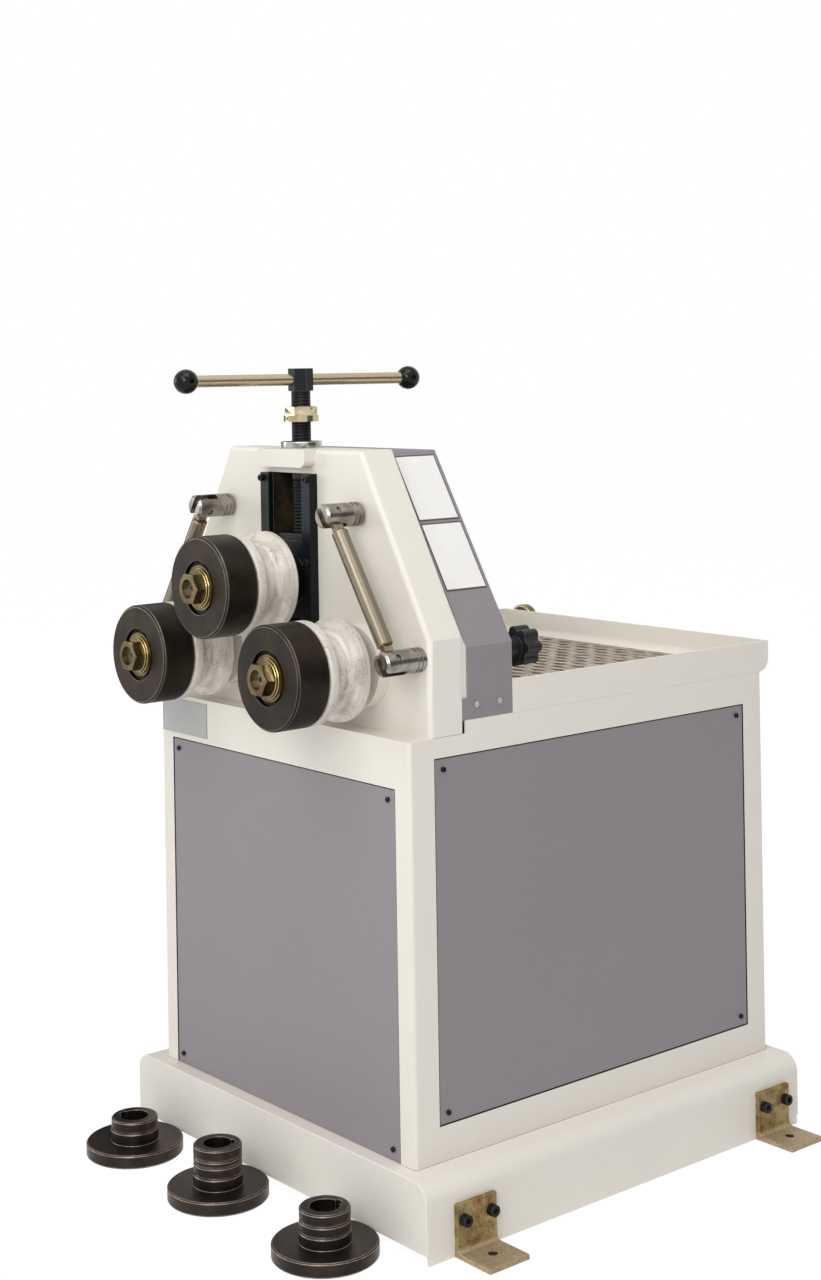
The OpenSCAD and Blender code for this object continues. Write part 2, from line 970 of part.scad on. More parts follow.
module head_casing() {
  color(cream)
    difference() {
      union() {
        difference() {
          xz(y_head, y_head_r)
            polygon(casing_pts());
          for (i = [1:5])
            for (t = [22.5, 45, 67.5])
              edge_cut(casing_pts()[i], casing_pts()[(i + 1) % 6], t);
        }
        xz(y_boss, y_head + head_r + over)
          cap_outline();
        for (s = [-1, 1])
          at_low(s)
            ycyl(boss_d, y_boss, y_head + over);
      }
      // slide window, wide in front and lipped at the rear
      box([-win_x, y_head - over, win_z0], [win_x, y_head_r - win_lip_t, win_z1]);
      box([-win_x + win_lip, y_head - over, win_z0], [win_x - win_lip, y_head_r + over, win_z1]);
      for (s = [-1, 1]) {
        at_low(s)
          ycyl(bush_d, y_boss - over, y_head_r + over);
        at_stud(s)
          ycyl(stud_d + 2 * fit, y_head - over, y_head_r + over);
      }
      // seat of the spindle nut, wide under the cap's top and narrow above the window
      translate([0, y_spin, cap_z])
        cylinder(d = nut_body_d, h = cap_h + over);
      translate([0, y_spin, win_z1 - over])
        cylinder(d = nut_sleeve_d, h = cap_z - win_z1 + 2 * over);
      gib_screw_places()
        cylinder(d = gib_screw_d, h = deep, center = true);
    }
}

// Cap over the spindle nut, seen from the front, with round lower corners
module cap_outline() {
  translate([-cap_x, cap_z + cap_r])
    square([2 * cap_x, cap_h - cap_r]);
  translate([-cap_x + cap_r, cap_z])
    square([2 * (cap_x - cap_r), cap_h]);
  for (s = [-1, 1])
    translate([s * (cap_x - cap_r), cap_z + cap_r])
      circle(r = cap_r);
}

// Half space that breaks the front edge from a to b at tilt t, touching a round of radius head_r
module edge_cut(a, b, t) {
  d = head_r * (cos(t) + sin(t) - 1);
  len = norm(b - a);
  translate([a[0], y_head, a[1]])
    rotate([0, -atan2(b[1] - a[1], b[0] - a[0]), 0])
      rotate([t, 0, 0])
        translate([-len, d - 3 * head_r, -4 * head_r])
          cube([3 * len, 3 * head_r, 8 * head_r]);
}

// Welded gear chamber: walls under the cover and the bearing plate at the rear
module gear_housing() {
  zc = cab_top;
  color(cream)
    difference() {
      union() {
        xz(y_head_r, y_plate)
          difference() {
            polygon(cover_pts(thin, zc));
            polygon(cover_pts(thin + chamber_wall, zc - over));
          }
        xz(y_plate, y_plate_r) {
          polygon(cover_pts(thin, zc));
          translate([-plate_x, plate_z0])
            square([2 * plate_x, zc - plate_z0 + over]);
        }
      }
      for (s = [-1, 1]) {
        at_low(s)
          ycyl(bush_d, y_plate - over, y_plate_r + over);
        at_stud(s)
          ycyl(stud_d + 2 * fit, y_plate - over, y_plate_r + over);
      }
      translate([0, 0, idler_z])
        ycyl(axle_d, y_plate - over, y_plate_r + over);
      translate([0, 0, drive_z])
        ycyl(drive_hole_d, y_plate - over, y_plate_r + over);
      cover_screw_places()
        cylinder(d = cover_screw_d + 2 * fit, h = deep / 2, center = true);
    }
}

module gear_cover() {
  color(grey)
    difference() {
      union() {
        xz(y_cover, y_cover_r)
          difference() {
            polygon(cover_pts(0, cab_top + free));
            polygon(cover_pts(thin, cab_top - over));
          }
        sides()
          box([head_x - thin, y_head_r + free, cab_top + free], [head_x, y_cover + over, cab_top + cover_tab]);
      }
      cover_screw_places()
        cylinder(d = cover_screw_d + 2 * fit, h = deep / 2, center = true);
    }
}

// Axes of the cover screws on both sides, pointing outwards
module cover_screw_places() {
  sides()
    for (y = cover_screw_y)
      translate([head_x, y_head_r + y, cab_top + cover_screw_lift])
        rotate([0, 90, 0])
          children();
}

module cover_screws() {
  color(bright)
    cover_screw_places()
      button_screw(cover_screw_d, thin + chamber_wall - over);
}

// Guides for the slide, one on each side of the window
module slide_gibs() {
  inner = win_x - win_lip;
  y0 = y_head - gib_out;
  z0 = win_z0 + gib_lift;
  color(dark)
    difference() {
      sides() {
        box([win_x + fit, y0, z0], [gib_edge, y_head, win_z1]);
        box([inner, y0, z0], [win_x + over, y0 + gib_lip_t, win_z1]);
      }
      gib_screw_places()
        cylinder(d = gib_screw_d + 2 * fit, h = deep, center = true);
    }
}

// Screw axes on the gibs, pointing to the front
module gib_screw_places() {
  z0 = win_z0 + gib_lift + gib_end;
  z1 = win_z1 - gib_end;
  for (x = [-1, 1])
    for (z = [z0, (z0 + z1) / 2, z1])
      translate([x * gib_screw_x, y_head - gib_out, z])
        rotate([90, 0, 0])
          children();
}

module gib_screws() {
  color(black)
    gib_screw_places()
      socket_screw(gib_screw_d, gib_out + gib_grip);
}

// Bar across the rear of the window, behind the spindle and against the lips
module gib_bridge() {
  y1 = y_head_r - win_lip_t;
  z1 = win_z1 - bridge_drop;
  color(dark)
    box([-win_x + fit, y1 - bridge_t, z1 - bridge_h], [win_x - fit, y1, z1]);
}

module spindle_nut() {
  z0 = win_z1 - sleeve_out;
  color(bright)
    translate([0, y_spin, 0])
      difference() {
        union() {
          translate([0, 0, head_z])
            cylinder(d = nut_flange_d, h = nut_flange_t);
          translate([0, 0, cap_z])
            cylinder(d = nut_body_d, h = cap_h + over);
          translate([0, 0, z0])
            cylinder(d = nut_sleeve_d, h = cap_z - z0 + over);
        }
        translate([0, 0, z0 - over])
          cylinder(d = spindle_d + 2 * fit, h = head_h);
      }
}

// Plain bushes for the lower shafts in casing and bearing plate
module lower_bearings() {
  color(brass)
    for (s = [-1, 1])
      at_low(s) {
        bush(bush_d, y_boss, y_head_r - bush_short);
        bush(bush_d, y_plate, y_plate_r);
      }
}

module bush(d, y0, y1) {
  difference() {
    ycyl(d, y0, y1);
    ycyl(shaft_d + 2 * fit, y0 - over, y1 + over);
  }
}

// Drive

module idler_axle() {
  color(steel)
    translate([0, 0, idler_z]) {
      ycyl(axle_d, y_gear - axle_head_t, y_plate_r);
      ycyl(axle_flange_d, y_plate - axle_ring_t, y_plate);
      ycyl(axle_flange_d, y_gear - axle_head_t, y_gear - seat);
    }
}

module idler_gears() {
  color(steel)
    translate([0, 0, idler_z]) {
      gear(idler_n, mesh_angle, axle_d + 2 * fit, y_gear, y_gear + gear_w);
      gear(wheel_n, 90, axle_d + 2 * fit, y_wheel, y_wheel + gear_w);
      difference() {
        ycyl(idler_hub_d, y_gear, y_plate - axle_ring_t - seat);
        ycyl(axle_d + 2 * fit, y_gear - over, y_plate);
      }
    }
}

module drive_pinion() {
  color(steel)
    translate([0, 0, drive_z]) {
      gear(drive_n, mesh_phase(90, -90, wheel_n, drive_n), drive_shaft_d - over, y_wheel, y_wheel + gear_w);
      ycyl(drive_shaft_d, y_wheel - drive_nose, y_plate_r + drive_shaft_in);
    }
}

module gearbox() {
  y1 = y_plate_r + gearbox_d;
  h = gearbox_s / 2;
  color([0.35, 0.42, 0.47])
    translate([0, 0, drive_z])
      difference() {
        union() {
          box([-h, y_plate_r + drive_flange_t - over, -h], [h, y1 - drive_flange_t + over, h]);
          ycyl(gearbox_flange_d, y_plate_r, y_plate_r + drive_flange_t);
          ycyl(cowl_d, y1 - drive_flange_t, y1);
          ycyl(drive_hole_d - free, y_plate_r - spigot, y_plate_r + over);
        }
        ycyl(drive_shaft_d + 2 * fit, y_plate_r - spigot - over, y_plate_r + drive_shaft_in + over);
      }
}

// Flanged motor with cooling fins along it, a fan cowl at the rear and a terminal box on top
module drive_motor() {
  y0 = y_plate_r + gearbox_d;
  color([0.38, 0.45, 0.50])
    translate([0, y0, drive_z]) {
      ycyl(motor_d, 0, drive_flange_t);
      ycyl(motor_core_d, 0, motor_l);
      for (i = [0:fin_n - 1])
        rotate([0, (i + 0.5) * 360 / fin_n, 0])
          box([-fin_t / 2, over, 0], [fin_t / 2, motor_l - over, cowl_d / 2 - over]);
      ycyl(cowl_d, motor_l - cowl_l, motor_l);
      box([-terminal_w / 2, terminal_back, 0],
          [terminal_w / 2, terminal_back + terminal_l, motor_d / 2 + terminal_h]);
    }
}

// Slide and spindle

module slide_block() {
  color(dark)
    difference() {
      union() {
        box([-block_x, y_block, block_bot], [block_x, y_block_r, block_top]);
        translate([0, 0, top_z])
          ycyl(block_boss_d, y_boss, y_block_out);
      }
      translate([0, 0, top_z])
        ycyl(top_bush_d, y_boss - over, y_block_out + over);
      translate([0, y_spin, block_top - foot_t - over])
        cylinder(d = foot_d + 2 * fit, h = foot_t + 2 * over);
    }
}

module slide_keeper() {
  color(dark)
    difference() {
      box([-block_x + keeper_in, y_block + keeper_gap, block_top],
          [block_x - keeper_in, y_block_r - keeper_gap, block_top + keeper_t]);
      translate([0, y_spin, block_top - over])
        cylinder(d = spindle_d + 2 * fit, h = keeper_t + 2 * over);
    }
}

module top_bearings() {
  color(brass)
    translate([0, 0, top_z]) {
      bush(top_bush_d, y_boss, y_boss + top_bush_l);
      bush(top_bush_d, y_block_out - top_bush_l, y_block_out);
    }
}

module spindle() {
  color(dark)
    translate([0, y_spin, 0])
      difference() {
        union() {
          translate([0, 0, block_top - foot_t])
            cylinder(d = foot_d, h = foot_t - fit);
          translate([0, 0, block_top - foot_t])
            cylinder(d = spindle_d, h = bar_z - block_top + foot_t);
          translate([0, 0, bar_z - hex_h / 2])
            rotate([0, 0, -bar_turn])
              hexbar(hex_af, hex_h);
        }
        along_bar()
          cylinder(d = bar_d + 2 * fit, h = deep, center = true);
      }
}

// Turns Z onto the handle bar, from the rear ball to the front one
module along_bar() {
  translate([0, 0, bar_z])
    rotate([90, 0, -bar_turn])
      children();
}

module handle_bar() {
  color([0.75, 0.69, 0.55])
    translate([0, y_spin, 0])
      along_bar() {
        cylinder(d = bar_d, h = 2 * (bar_reach - ball_flat), center = true);
        cylinder(d = ball_stub_d, h = 2 * (bar_reach - ball_flat + ball_stub), center = true);
      }
}

module ball_knobs() {
  color(black)
    translate([0, y_spin, 0])
      along_bar()
        for (s = [-1, 1])
          translate([0, 0, s * bar_reach])
            difference() {
              sphere(d = ball_d);
              translate([0, 0, -s * (ball_flat + ball_d / 2)])
                cube(ball_d, center = true);
              translate([0, 0, -s * ball_flat])
                cylinder(d = ball_stub_d + 2 * fit, h = 2 * (ball_stub + over), center = true);
            }
}

module stop_nut() {
  color(zinc)
    translate([0, y_spin, stop_z])
      difference() {
        union() {
          cylinder(d = stop_d, h = stop_flange_t);
          hex_nut(nut_af, stop_flange_t + stop_hex_t);
        }
        cylinder(d = spindle_d + 2 * fit, h = 2 * deep, center = true);
        translate([0, 0, stop_flange_t / 2])
          rotate([90, 0, 0])
            cylinder(d = stop_hole_d, h = stop_d);
      }
}

// Rolls, drawn on an axis along Y through the origin

module roll_shaft(y_end) {
  difference() {
    union() {
      ycyl(stub_d, y_roll - hex_t / 2, y_seat + over);
      ycyl(shaft_d, y_seat, y_end);
      ycyl(collar_d, y_tube, y_collar);
      box([-key_w / 2, y_seat + key_end, 0], [key_w / 2, y_tube - key_end, shaft_d / 2 + key_h]);
    }
    ycyl(centre_d, y_roll - hex_t, y_roll - hex_t / 2 + centre_d);
  }
}

module roll_bore(y0, y1) {
  ycyl(shaft_d + 2 * fit, y0 - over, y1 + over);
  box([-key_w / 2 - key_fit, y0 - over, 0], [key_w / 2 + key_fit, y1 + over, shaft_d / 2 + key_h + 2 * key_fit]);
}

// Grooved roll: groove radius follows the tube, its centre just outside the roll
module tube_roll() {
  groove_r = tube_d / 2 + groove_play;
  groove_c = roll_d / 2 + groove_out;
  color(white)
    difference() {
      translate([0, y_tube, 0])
        rotate([90, 0, 0])
          rotate_extrude()
            difference() {
              union() {
                square([roll_d / 2 - flange_r, tube_w]);
                translate([0, flange_r])
                  square([roll_d / 2, tube_w - 2 * flange_r]);
                for (z = [flange_r, tube_w - flange_r])
                  translate([roll_d / 2 - flange_r, z])
                    circle(r = flange_r);
              }
              translate([groove_c, tube_w / 2])
                circle(r = groove_r);
            }
      roll_bore(y_ring, y_tube);
    }
}

module steel_ring() {
  color(black)
    difference() {
      translate([0, y_ring, 0])
        rotate([90, 0, 0])
          rotate_extrude()
            polygon([[0, 0], [roll_d / 2 - ring_c, 0], [roll_d / 2, ring_c], [roll_d / 2, ring_w - ring_c],
                     [roll_d / 2 - ring_c, ring_w], [0, ring_w]]);
      ycyl(seat_d, y_roll - over, y_seat);
      roll_bore(y_roll, y_ring);
    }
}

module roll_nut() {
  color(zinc)
    difference() {
      union() {
        ycyl(washer_d, y_seat - washer_t, y_seat);
        translate([0, y_seat - washer_t + over, 0])
          rotate([90, 0, 0])
            hex_nut(nut_af, hex_t + over);
      }
      ycyl(stub_d + 2 * fit, y_seat - deep, y_seat + over);
    }
}

module at_top() {
  translate([0, 0, top_z])
    children();
}

module top_shaft() {
  color(steel)
    at_top() {
      roll_shaft(y_block_out + free);
      ycyl(rear_collar_d, y_block_out + free, y_block_out + free + rear_collar_t);
    }
}

module top_tube_roll() {
  at_top()
    tube_roll();
}

module top_ring() {
  at_top()
    steel_ring();
}

module top_nut() {
  at_top()
    roll_nut();
}

module right_shaft() {
  color(steel)
    at_low(1)
      roll_shaft(y_plate_r - shaft_short);
}

module right_tube_roll() {
  at_low(1)
    tube_roll();
}

module right_ring() {
  at_low(1)
    steel_ring();
}

module right_nut() {
  at_low(1)
    roll_nut();
}

module right_gear() {
  color(steel)
    at_low(1)
      gear(gear_n, mesh_phase(mesh_angle, mesh_angle, idler_n, gear_n), shaft_d, y_gear, y_gear + gear_w);
}

module left_shaft() {
  color(steel)
    at_low(-1)
      roll_shaft(y_plate_r - shaft_short);
}

module left_tube_roll() {
  at_low(-1)
    tube_roll();
}

module left_ring() {
  at_low(-1)
    steel_ring();
}

module left_nut() {
  at_low(-1)
    roll_nut();
}

module left_gear() {
  color(steel)
    at_low(-1)
      gear(gear_n, mesh_phase(mesh_angle, 180 - mesh_angle, idler_n, gear_n), shaft_d, y_gear, y_gear + gear_w);
}

// Guide arms, drawn on the stud axis with the rod along +Z, then leaned over

module at_arm(s) {
  translate([s * arm_x, 0, arm_z])
    rotate([0, -s * arm_lean, 0])
      children();
}

// Slotted cylinder along Y with a cross pin hole along X
module clevis(len) {
  y1 = y_clevis + len;
  difference() {
    union() {
      ycyl(clevis_d, y_clevis + clevis_c, y1);
      translate([0, y_clevis, 0])
        rotate([-90, 0, 0])
          cylinder(d1 = clevis_d - 2 * clevis_c, d2 = clevis_d, h = clevis_c);
    }
    box([-slot_w / 2, y_clevis - over, -clevis_d], [slot_w / 2, y_clevis + slot_depth, clevis_d]);
    translate([0, y_pin, 0])
      rotate([0, 90, 0])
        cylinder(d = pin_d + 2 * fit, h = 2 * clevis_d, center = true);
    for (d = clevis_groove_y)
      translate([0, y1 - d, 0])
        difference() {
          ycyl(clevis_d + 2 * over, 0, clevis_groove);
          ycyl(clevis_d - 2 * clevis_groove_t, -over, clevis_groove + over);
        }
  }
}

module arm_stud() {
  color(steel) {
    clevis(clevis_len - seat);
    ycyl(stud_d, y_head - over, y_plate_r + knob_hub_h);
  }
}

module arm_rod() {
  color(steel)
    translate([0, y_pin, 0]) {
      translate([0, 0, rod_start + rod_c])
        cylinder(d = rod_d, h = arm_len - 2 * (rod_start + rod_c));
      for (e = [0, 1])
        translate([0, 0, e * arm_len])
          rotate([180 * e, 0, 0])
            rod_end();
    }
}

// Tongue, cross pin and neck at one end of a rod, up to its chamfered shoulder
module rod_end() {
  rotate([0, 90, 0]) {
    cylinder(r = tongue_r, h = tongue_t, center = true);
    cylinder(d = pin_d, h = clevis_d - pin_short, center = true);
  }
  box([-tongue_t / 2, -neck_w / 2, 0], [tongue_t / 2, neck_w / 2, rod_start + rod_c]);
  translate([0, 0, rod_start])
    cylinder(d1 = rod_d - 2 * rod_c, d2 = rod_d, h = rod_c);
}

module arm_tip() {
  color(steel)
    translate([0, 0, arm_len])
      clevis(tip_len);
}

// Star grip that clamps the stud from behind
module star_knob() {
  y0 = y_plate_r + seat;
  color(black)
    difference() {
      union() {
        ycyl(knob_hub_d, y0, y0 + knob_hub_h);
        xz(y0 + knob_hub_h, y0 + knob_hub_h + knob_h) {
          circle(d = knob_core_d);
          for (i = [0:knob_n - 1])
            rotate(i * 360 / knob_n)
              translate([star_d / 2 - knob_lobe_r, 0])
                circle(r = knob_lobe_r);
        }
      }
      ycyl(stud_d + 2 * fit, y0 - over, y0 + knob_hub_h + seat);
    }
}

module right_arm_stud() {
  at_arm(1)
    arm_stud();
}

module right_arm_rod() {
  at_arm(1)
    arm_rod();
}

module right_arm_tip() {
  at_arm(1)
    arm_tip();
}

module right_star_knob() {
  at_stud(1)
    star_knob();
}

module left_arm_stud() {
  at_arm(-1)
    arm_stud();
}

module left_arm_rod() {
  at_arm(-1)
    arm_rod();
}

module left_arm_tip() {
  at_arm(-1)
    arm_tip();
}

module left_star_knob() {
  at_stud(-1)
    star_knob();
}

// Loose rolls: a flange with a hub, and spacer rings stacked on the hub

module spare_roll(i) {
  h = ring_h[i];
  color([0.2, 0.18, 0.16])
    translate([spare_x[i], spare_y, 0])
      rotate(spare_turn[i]) {
        spare_turned()
          union() {
            turned(0, spare_t, roll_d / 2);
            turned(0, ring_z(h, 1), spare_hub_d / 2);
          }
        for (k = [1:len(h) - 1])
          spare_turned()
            turned(ring_z(h, k), ring_z(h, k + 1), spare_ring_d / 2);
      }
}

// Height of the lower face of ring k in a stack of ring heights h
function ring_z(h, k) = k == 0 ? spare_t : ring_z(h, k - 1) + h[k - 1];

// Half section from z0 to z1 with broken outer edges
module turned(z0, z1, r) {
  c = spare_c;
  polygon([[0, z0], [r - c, z0], [r, z0 + c], [r, z1 - c], [r - c, z1], [0, z1]]);
}

// Revolves a half section and cuts the keyed bore
module spare_turned() {
  difference() {
    rotate_extrude()
      children();
    translate([0, 0, -over])
      cylinder(d = spare_bore_d, h = 4 * deep);
    box([-spare_key_w / 2, 0, -over], [spare_key_w / 2, spare_bore_d / 2 + spare_key_h, 4 * deep]);
  }
}

module spare_roll_1() {
  spare_roll(0);
}

module spare_roll_2() {
  spare_roll(1);
}

module spare_roll_3() {
  spare_roll(2);
}

base_plinth();
plinth_ends();
floor_brackets();
bracket_screws();
cabinet_frame();
front_panel();
right_panel();
left_panel();
rear_panel();
panel_screws();
cable_gland();
tray();
tray_mesh();
roll_post();
head_casing();
gear_housing();
gear_cover();
cover_screws();
slide_gibs();
gib_screws();
gib_bridge();
spindle_nut();
lower_bearings();
idler_axle();
gearbox();
drive_motor();
slide_block();
slide_keeper();
top_bearings();
spindle();
handle_bar();
ball_knobs();
stop_nut();
top_shaft();
top_tube_roll();
top_ring();
top_nut();
right_shaft();
right_tube_roll();
right_ring();
right_nut();
right_gear();
left_shaft();
left_tube_roll();
left_ring();
left_nut();
left_gear();
idler_gears();
drive_pinion();
right_arm_stud();
right_arm_rod();
right_arm_tip();
right_star_knob();
left_arm_stud();
left_arm_rod();
left_arm_tip();
left_star_knob();
spare_roll_1();
spare_roll_2();
spare_roll_3();
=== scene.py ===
"""Looks of a three-roll angle and tube bender on its cabinet, with loose rolls in front."""

import json
import math

import bmesh
import bpy
from mathutils import Matrix, Vector


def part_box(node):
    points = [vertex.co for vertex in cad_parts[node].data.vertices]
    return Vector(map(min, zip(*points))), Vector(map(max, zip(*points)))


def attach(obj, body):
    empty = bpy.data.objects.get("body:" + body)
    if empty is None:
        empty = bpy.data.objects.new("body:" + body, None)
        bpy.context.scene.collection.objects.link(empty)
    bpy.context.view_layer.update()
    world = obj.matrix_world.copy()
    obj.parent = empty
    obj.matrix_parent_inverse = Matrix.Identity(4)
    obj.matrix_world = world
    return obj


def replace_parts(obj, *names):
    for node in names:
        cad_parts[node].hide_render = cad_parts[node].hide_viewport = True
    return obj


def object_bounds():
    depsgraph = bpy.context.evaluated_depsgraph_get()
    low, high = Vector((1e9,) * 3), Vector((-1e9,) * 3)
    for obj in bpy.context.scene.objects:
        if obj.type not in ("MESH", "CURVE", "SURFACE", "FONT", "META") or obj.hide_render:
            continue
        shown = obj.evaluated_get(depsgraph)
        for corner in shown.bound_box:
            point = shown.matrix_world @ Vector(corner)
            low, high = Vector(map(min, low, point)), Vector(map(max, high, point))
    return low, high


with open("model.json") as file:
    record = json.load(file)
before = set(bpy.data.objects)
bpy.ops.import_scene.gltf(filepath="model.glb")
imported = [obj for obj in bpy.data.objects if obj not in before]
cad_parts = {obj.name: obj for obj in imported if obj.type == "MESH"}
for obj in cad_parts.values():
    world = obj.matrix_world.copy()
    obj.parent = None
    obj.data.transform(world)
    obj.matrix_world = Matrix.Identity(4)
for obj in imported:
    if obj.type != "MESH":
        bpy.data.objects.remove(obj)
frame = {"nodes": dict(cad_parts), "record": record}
cad_low, cad_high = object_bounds()

MM = 0.001
SLOT_OF = {row["node"]: row["material_slot"] for row in frame["record"]["subparts"]}
BODY_OF = {node: body for body, nodes in frame["record"]["behaviour"]["bodies"].items() for node in nodes}


# Shader maths


class Number:
    """A shader socket; Python's operators on it add Math nodes."""

    def __init__(self, graph, socket):
        self.graph = graph
        self.socket = socket

    def maths(self, operation, *values):
        return self.graph.node("ShaderNodeMath", {"operation": operation}, dict(enumerate(values)))

    def __add__(self, other):
        return self.maths("ADD", self, other)

    def __radd__(self, other):
        return self.maths("ADD", other, self)

    def __sub__(self, other):
        return self.maths("SUBTRACT", self, other)

    def __rsub__(self, other):
        return self.maths("SUBTRACT", other, self)

    def __mul__(self, other):
        return self.maths("MULTIPLY", self, other)

    def __truediv__(self, other):
        return self.maths("DIVIDE", self, other)

    def root(self):
        return self.maths("SQRT", self)

    def size(self):
        return self.maths("ABSOLUTE", self)

    def smaller(self, other):
        return self.maths("MINIMUM", self, other)

    def larger(self, other):
        return self.maths("MAXIMUM", self, other)

    def wave(self):
        return self.maths("SINE", self)

    def span(self, low, high, start=0.0, end=1.0):
        """Goes smoothly from start to end while the value goes from low to high."""
        values = {0: self, 1: low, 2: high, 3: start, 4: end}
        return self.graph.node("ShaderNodeMapRange", {"interpolation_type": "SMOOTHSTEP"}, values)


class Graph:
    """The nodes of one material or of the world."""

    def __init__(self, tree):
        self.tree = tree

    def node(self, kind, settings=None, values=None, output=0):
        """Any node: its settings first, then the values or links of its sockets."""
        made = self.tree.nodes.new(kind)
        for key, setting in (settings or {}).items():
            if key == "stops":
                fill_ramp(made.color_ramp, setting)
            else:
                setattr(made, key, setting)
        for key, value in (values or {}).items():
            self.feed(made.inputs[key], value)
        return Number(self, made.outputs[output])

    def feed(self, socket, value):
        if isinstance(value, Number):
            self.tree.links.new(value.socket, socket)
        else:
            socket.default_value = value

    def place(self):
        return self.node("ShaderNodeTexCoord", output="Object")

    def parts(self, vector):
        """X, Y and Z of a vector."""
        split = self.node("ShaderNodeSeparateXYZ", None, {0: vector})
        return [Number(self, socket) for socket in split.socket.node.outputs]

    def joined(self, x, y, z):
        return self.node("ShaderNodeCombineXYZ", None, {0: x, 1: y, 2: z})

    def place_from(self, centre):
        """Object coordinates counted from a point."""
        return self.node("ShaderNodeVectorMath", {"operation": "SUBTRACT"}, {0: self.place(), 1: centre})

    def stretched(self, scale, turn):
        """Object coordinates, turned and then scaled along each axis."""
        values = {"Vector": self.place(), "Rotation": turn}
        turned = self.node("ShaderNodeMapping", {"vector_type": "POINT"}, values)
        return self.node("ShaderNodeVectorMath", {"operation": "MULTIPLY"}, {0: turned, 1: scale})

    def noise(self, scale, detail=3.0, rough=0.55, vector=None):
        values = {"Scale": scale, "Detail": detail, "Roughness": rough}
        values["Vector"] = vector or self.place()
        return self.node("ShaderNodeTexNoise", {"noise_dimensions": "3D"}, values)

    def mix(self, share, a, b):
        """Colour a where share is 0, colour b where it is 1."""
        return self.node("ShaderNodeMix", {"data_type": "RGBA"}, {0: share, 6: a, 7: b}, output=2)

    def ramp(self, value, *stops):
        return self.node("ShaderNodeValToRGB", {"stops": stops}, {0: value})

    def wear(self):
        """1 on rounded edges of a softened piece, 0 elsewhere; it carries both edge wear and painted edge
        highlights.
        """
        return self.node("ShaderNodeAttribute", {"attribute_name": "wear"}, output="Fac")

    def bump(self, height, depth, strength):
        values = {"Height": height, "Distance": depth, "Strength": strength}
        return self.node("ShaderNodeBump", None, values)

    def seen_rays(self):
        """1 for rays of the camera, of reflections and through clear things, 0 for the others."""
        path = self.node("ShaderNodeLightPath").socket.node
        seen = Number(self, path.outputs["Is Camera Ray"]) + Number(self, path.outputs["Is Glossy Ray"])
        return seen + Number(self, path.outputs["Is Transmission Ray"])


class Finish(Graph):
    """A material with one Principled shader."""

    def __init__(self, name):
        self.material = bpy.data.materials.new(name)
        self.material.use_nodes = True
        super().__init__(self.material.node_tree)
        self.shader = self.tree.nodes["Principled BSDF"]

    def coat(self, gloss=0.5, **values):
        """Sets the shader's sockets, named with _ for a space, and the strength of its clear gloss."""
        self.shader.inputs["Specular IOR Level"].default_value = gloss
        for key, value in values.items():
            self.feed(self.shader.inputs[key.replace("_", " ").title()], value)
        return self


def fill_ramp(ramp, stops):
    """Sets the stops of a colour ramp, given as pairs of place and colour."""
    while len(ramp.elements) < len(stops):
        ramp.elements.new(0.5)
    for element, (place, colour) in zip(ramp.elements, stops):
        element.position = place
        element.color = colour


def srgb(red, green, blue):
    """A colour as seen on a screen, 0 to 255, in linear light."""
    def line(c):
        c = c / 255
        return c / 12.92 if c <= 0.04045 else ((c + 0.055) / 1.055) ** 2.4
    return (line(red), line(green), line(blue), 1.0)


def shaded(colour, share):
    """A colour made darker or lighter by a share."""
    return [min(1.0, c * share) for c in colour[:3]] + [1.0]


# Finishes


def window_bare_and_shaded(f, tone, window):
    """The tone with a window's walls painted dark, as oily bare steel and as painted shade inside the window,
    and a dark seam along the foot of the casing's sides.
    """
    half, front, top, foot, side = window
    x, y, z = f.parts(f.place())
    window_shade = x.size().span(half + 0.0012, half + 0.0006) * y.span(front + 0.0002, front + 0.0008)
    window_shade = window_shade * z.span(top + 0.0012, top + 0.0006)
    seam = z.span(foot + 0.0011, foot + 0.0006) * x.size().span(side - 0.002, side - 0.001)
    tone = f.mix(seam * 0.7, tone, srgb(118, 110, 100))
    oil = f.noise(38.0, 5.0, 0.62)
    # Painted shade: the window's walls are drawn dark, standing for the shade inside it, tinted as oily bare
    # steel
    return f.mix(window_shade, tone, f.mix(oil.span(0.4, 0.65), srgb(30, 30, 29), srgb(66, 56, 36)))


def painted_gap_shade(f, tone, gaps):
    """The tone with painted shade inside the gaps round the panels, away from round corners, and a seam at
    the foot.
    """
    half, front, rear, top, foot = gaps
    x, y, z = f.parts(f.place())
    across = half - x.size()
    along = (y - front).smaller(rear - y)
    inside = across.smaller(along).span(0.0001, 0.0005) * across.larger(along).span(0.010, 0.012)
    tone = f.mix(z.span(foot + 0.0010, foot + 0.0005) * 0.7, tone, srgb(132, 120, 106))
    # Painted shade: the frame's faces deep in the panel gaps are drawn nearly black
    return f.mix(inside * z.span(top, top - 0.001), tone, srgb(34, 30, 32))


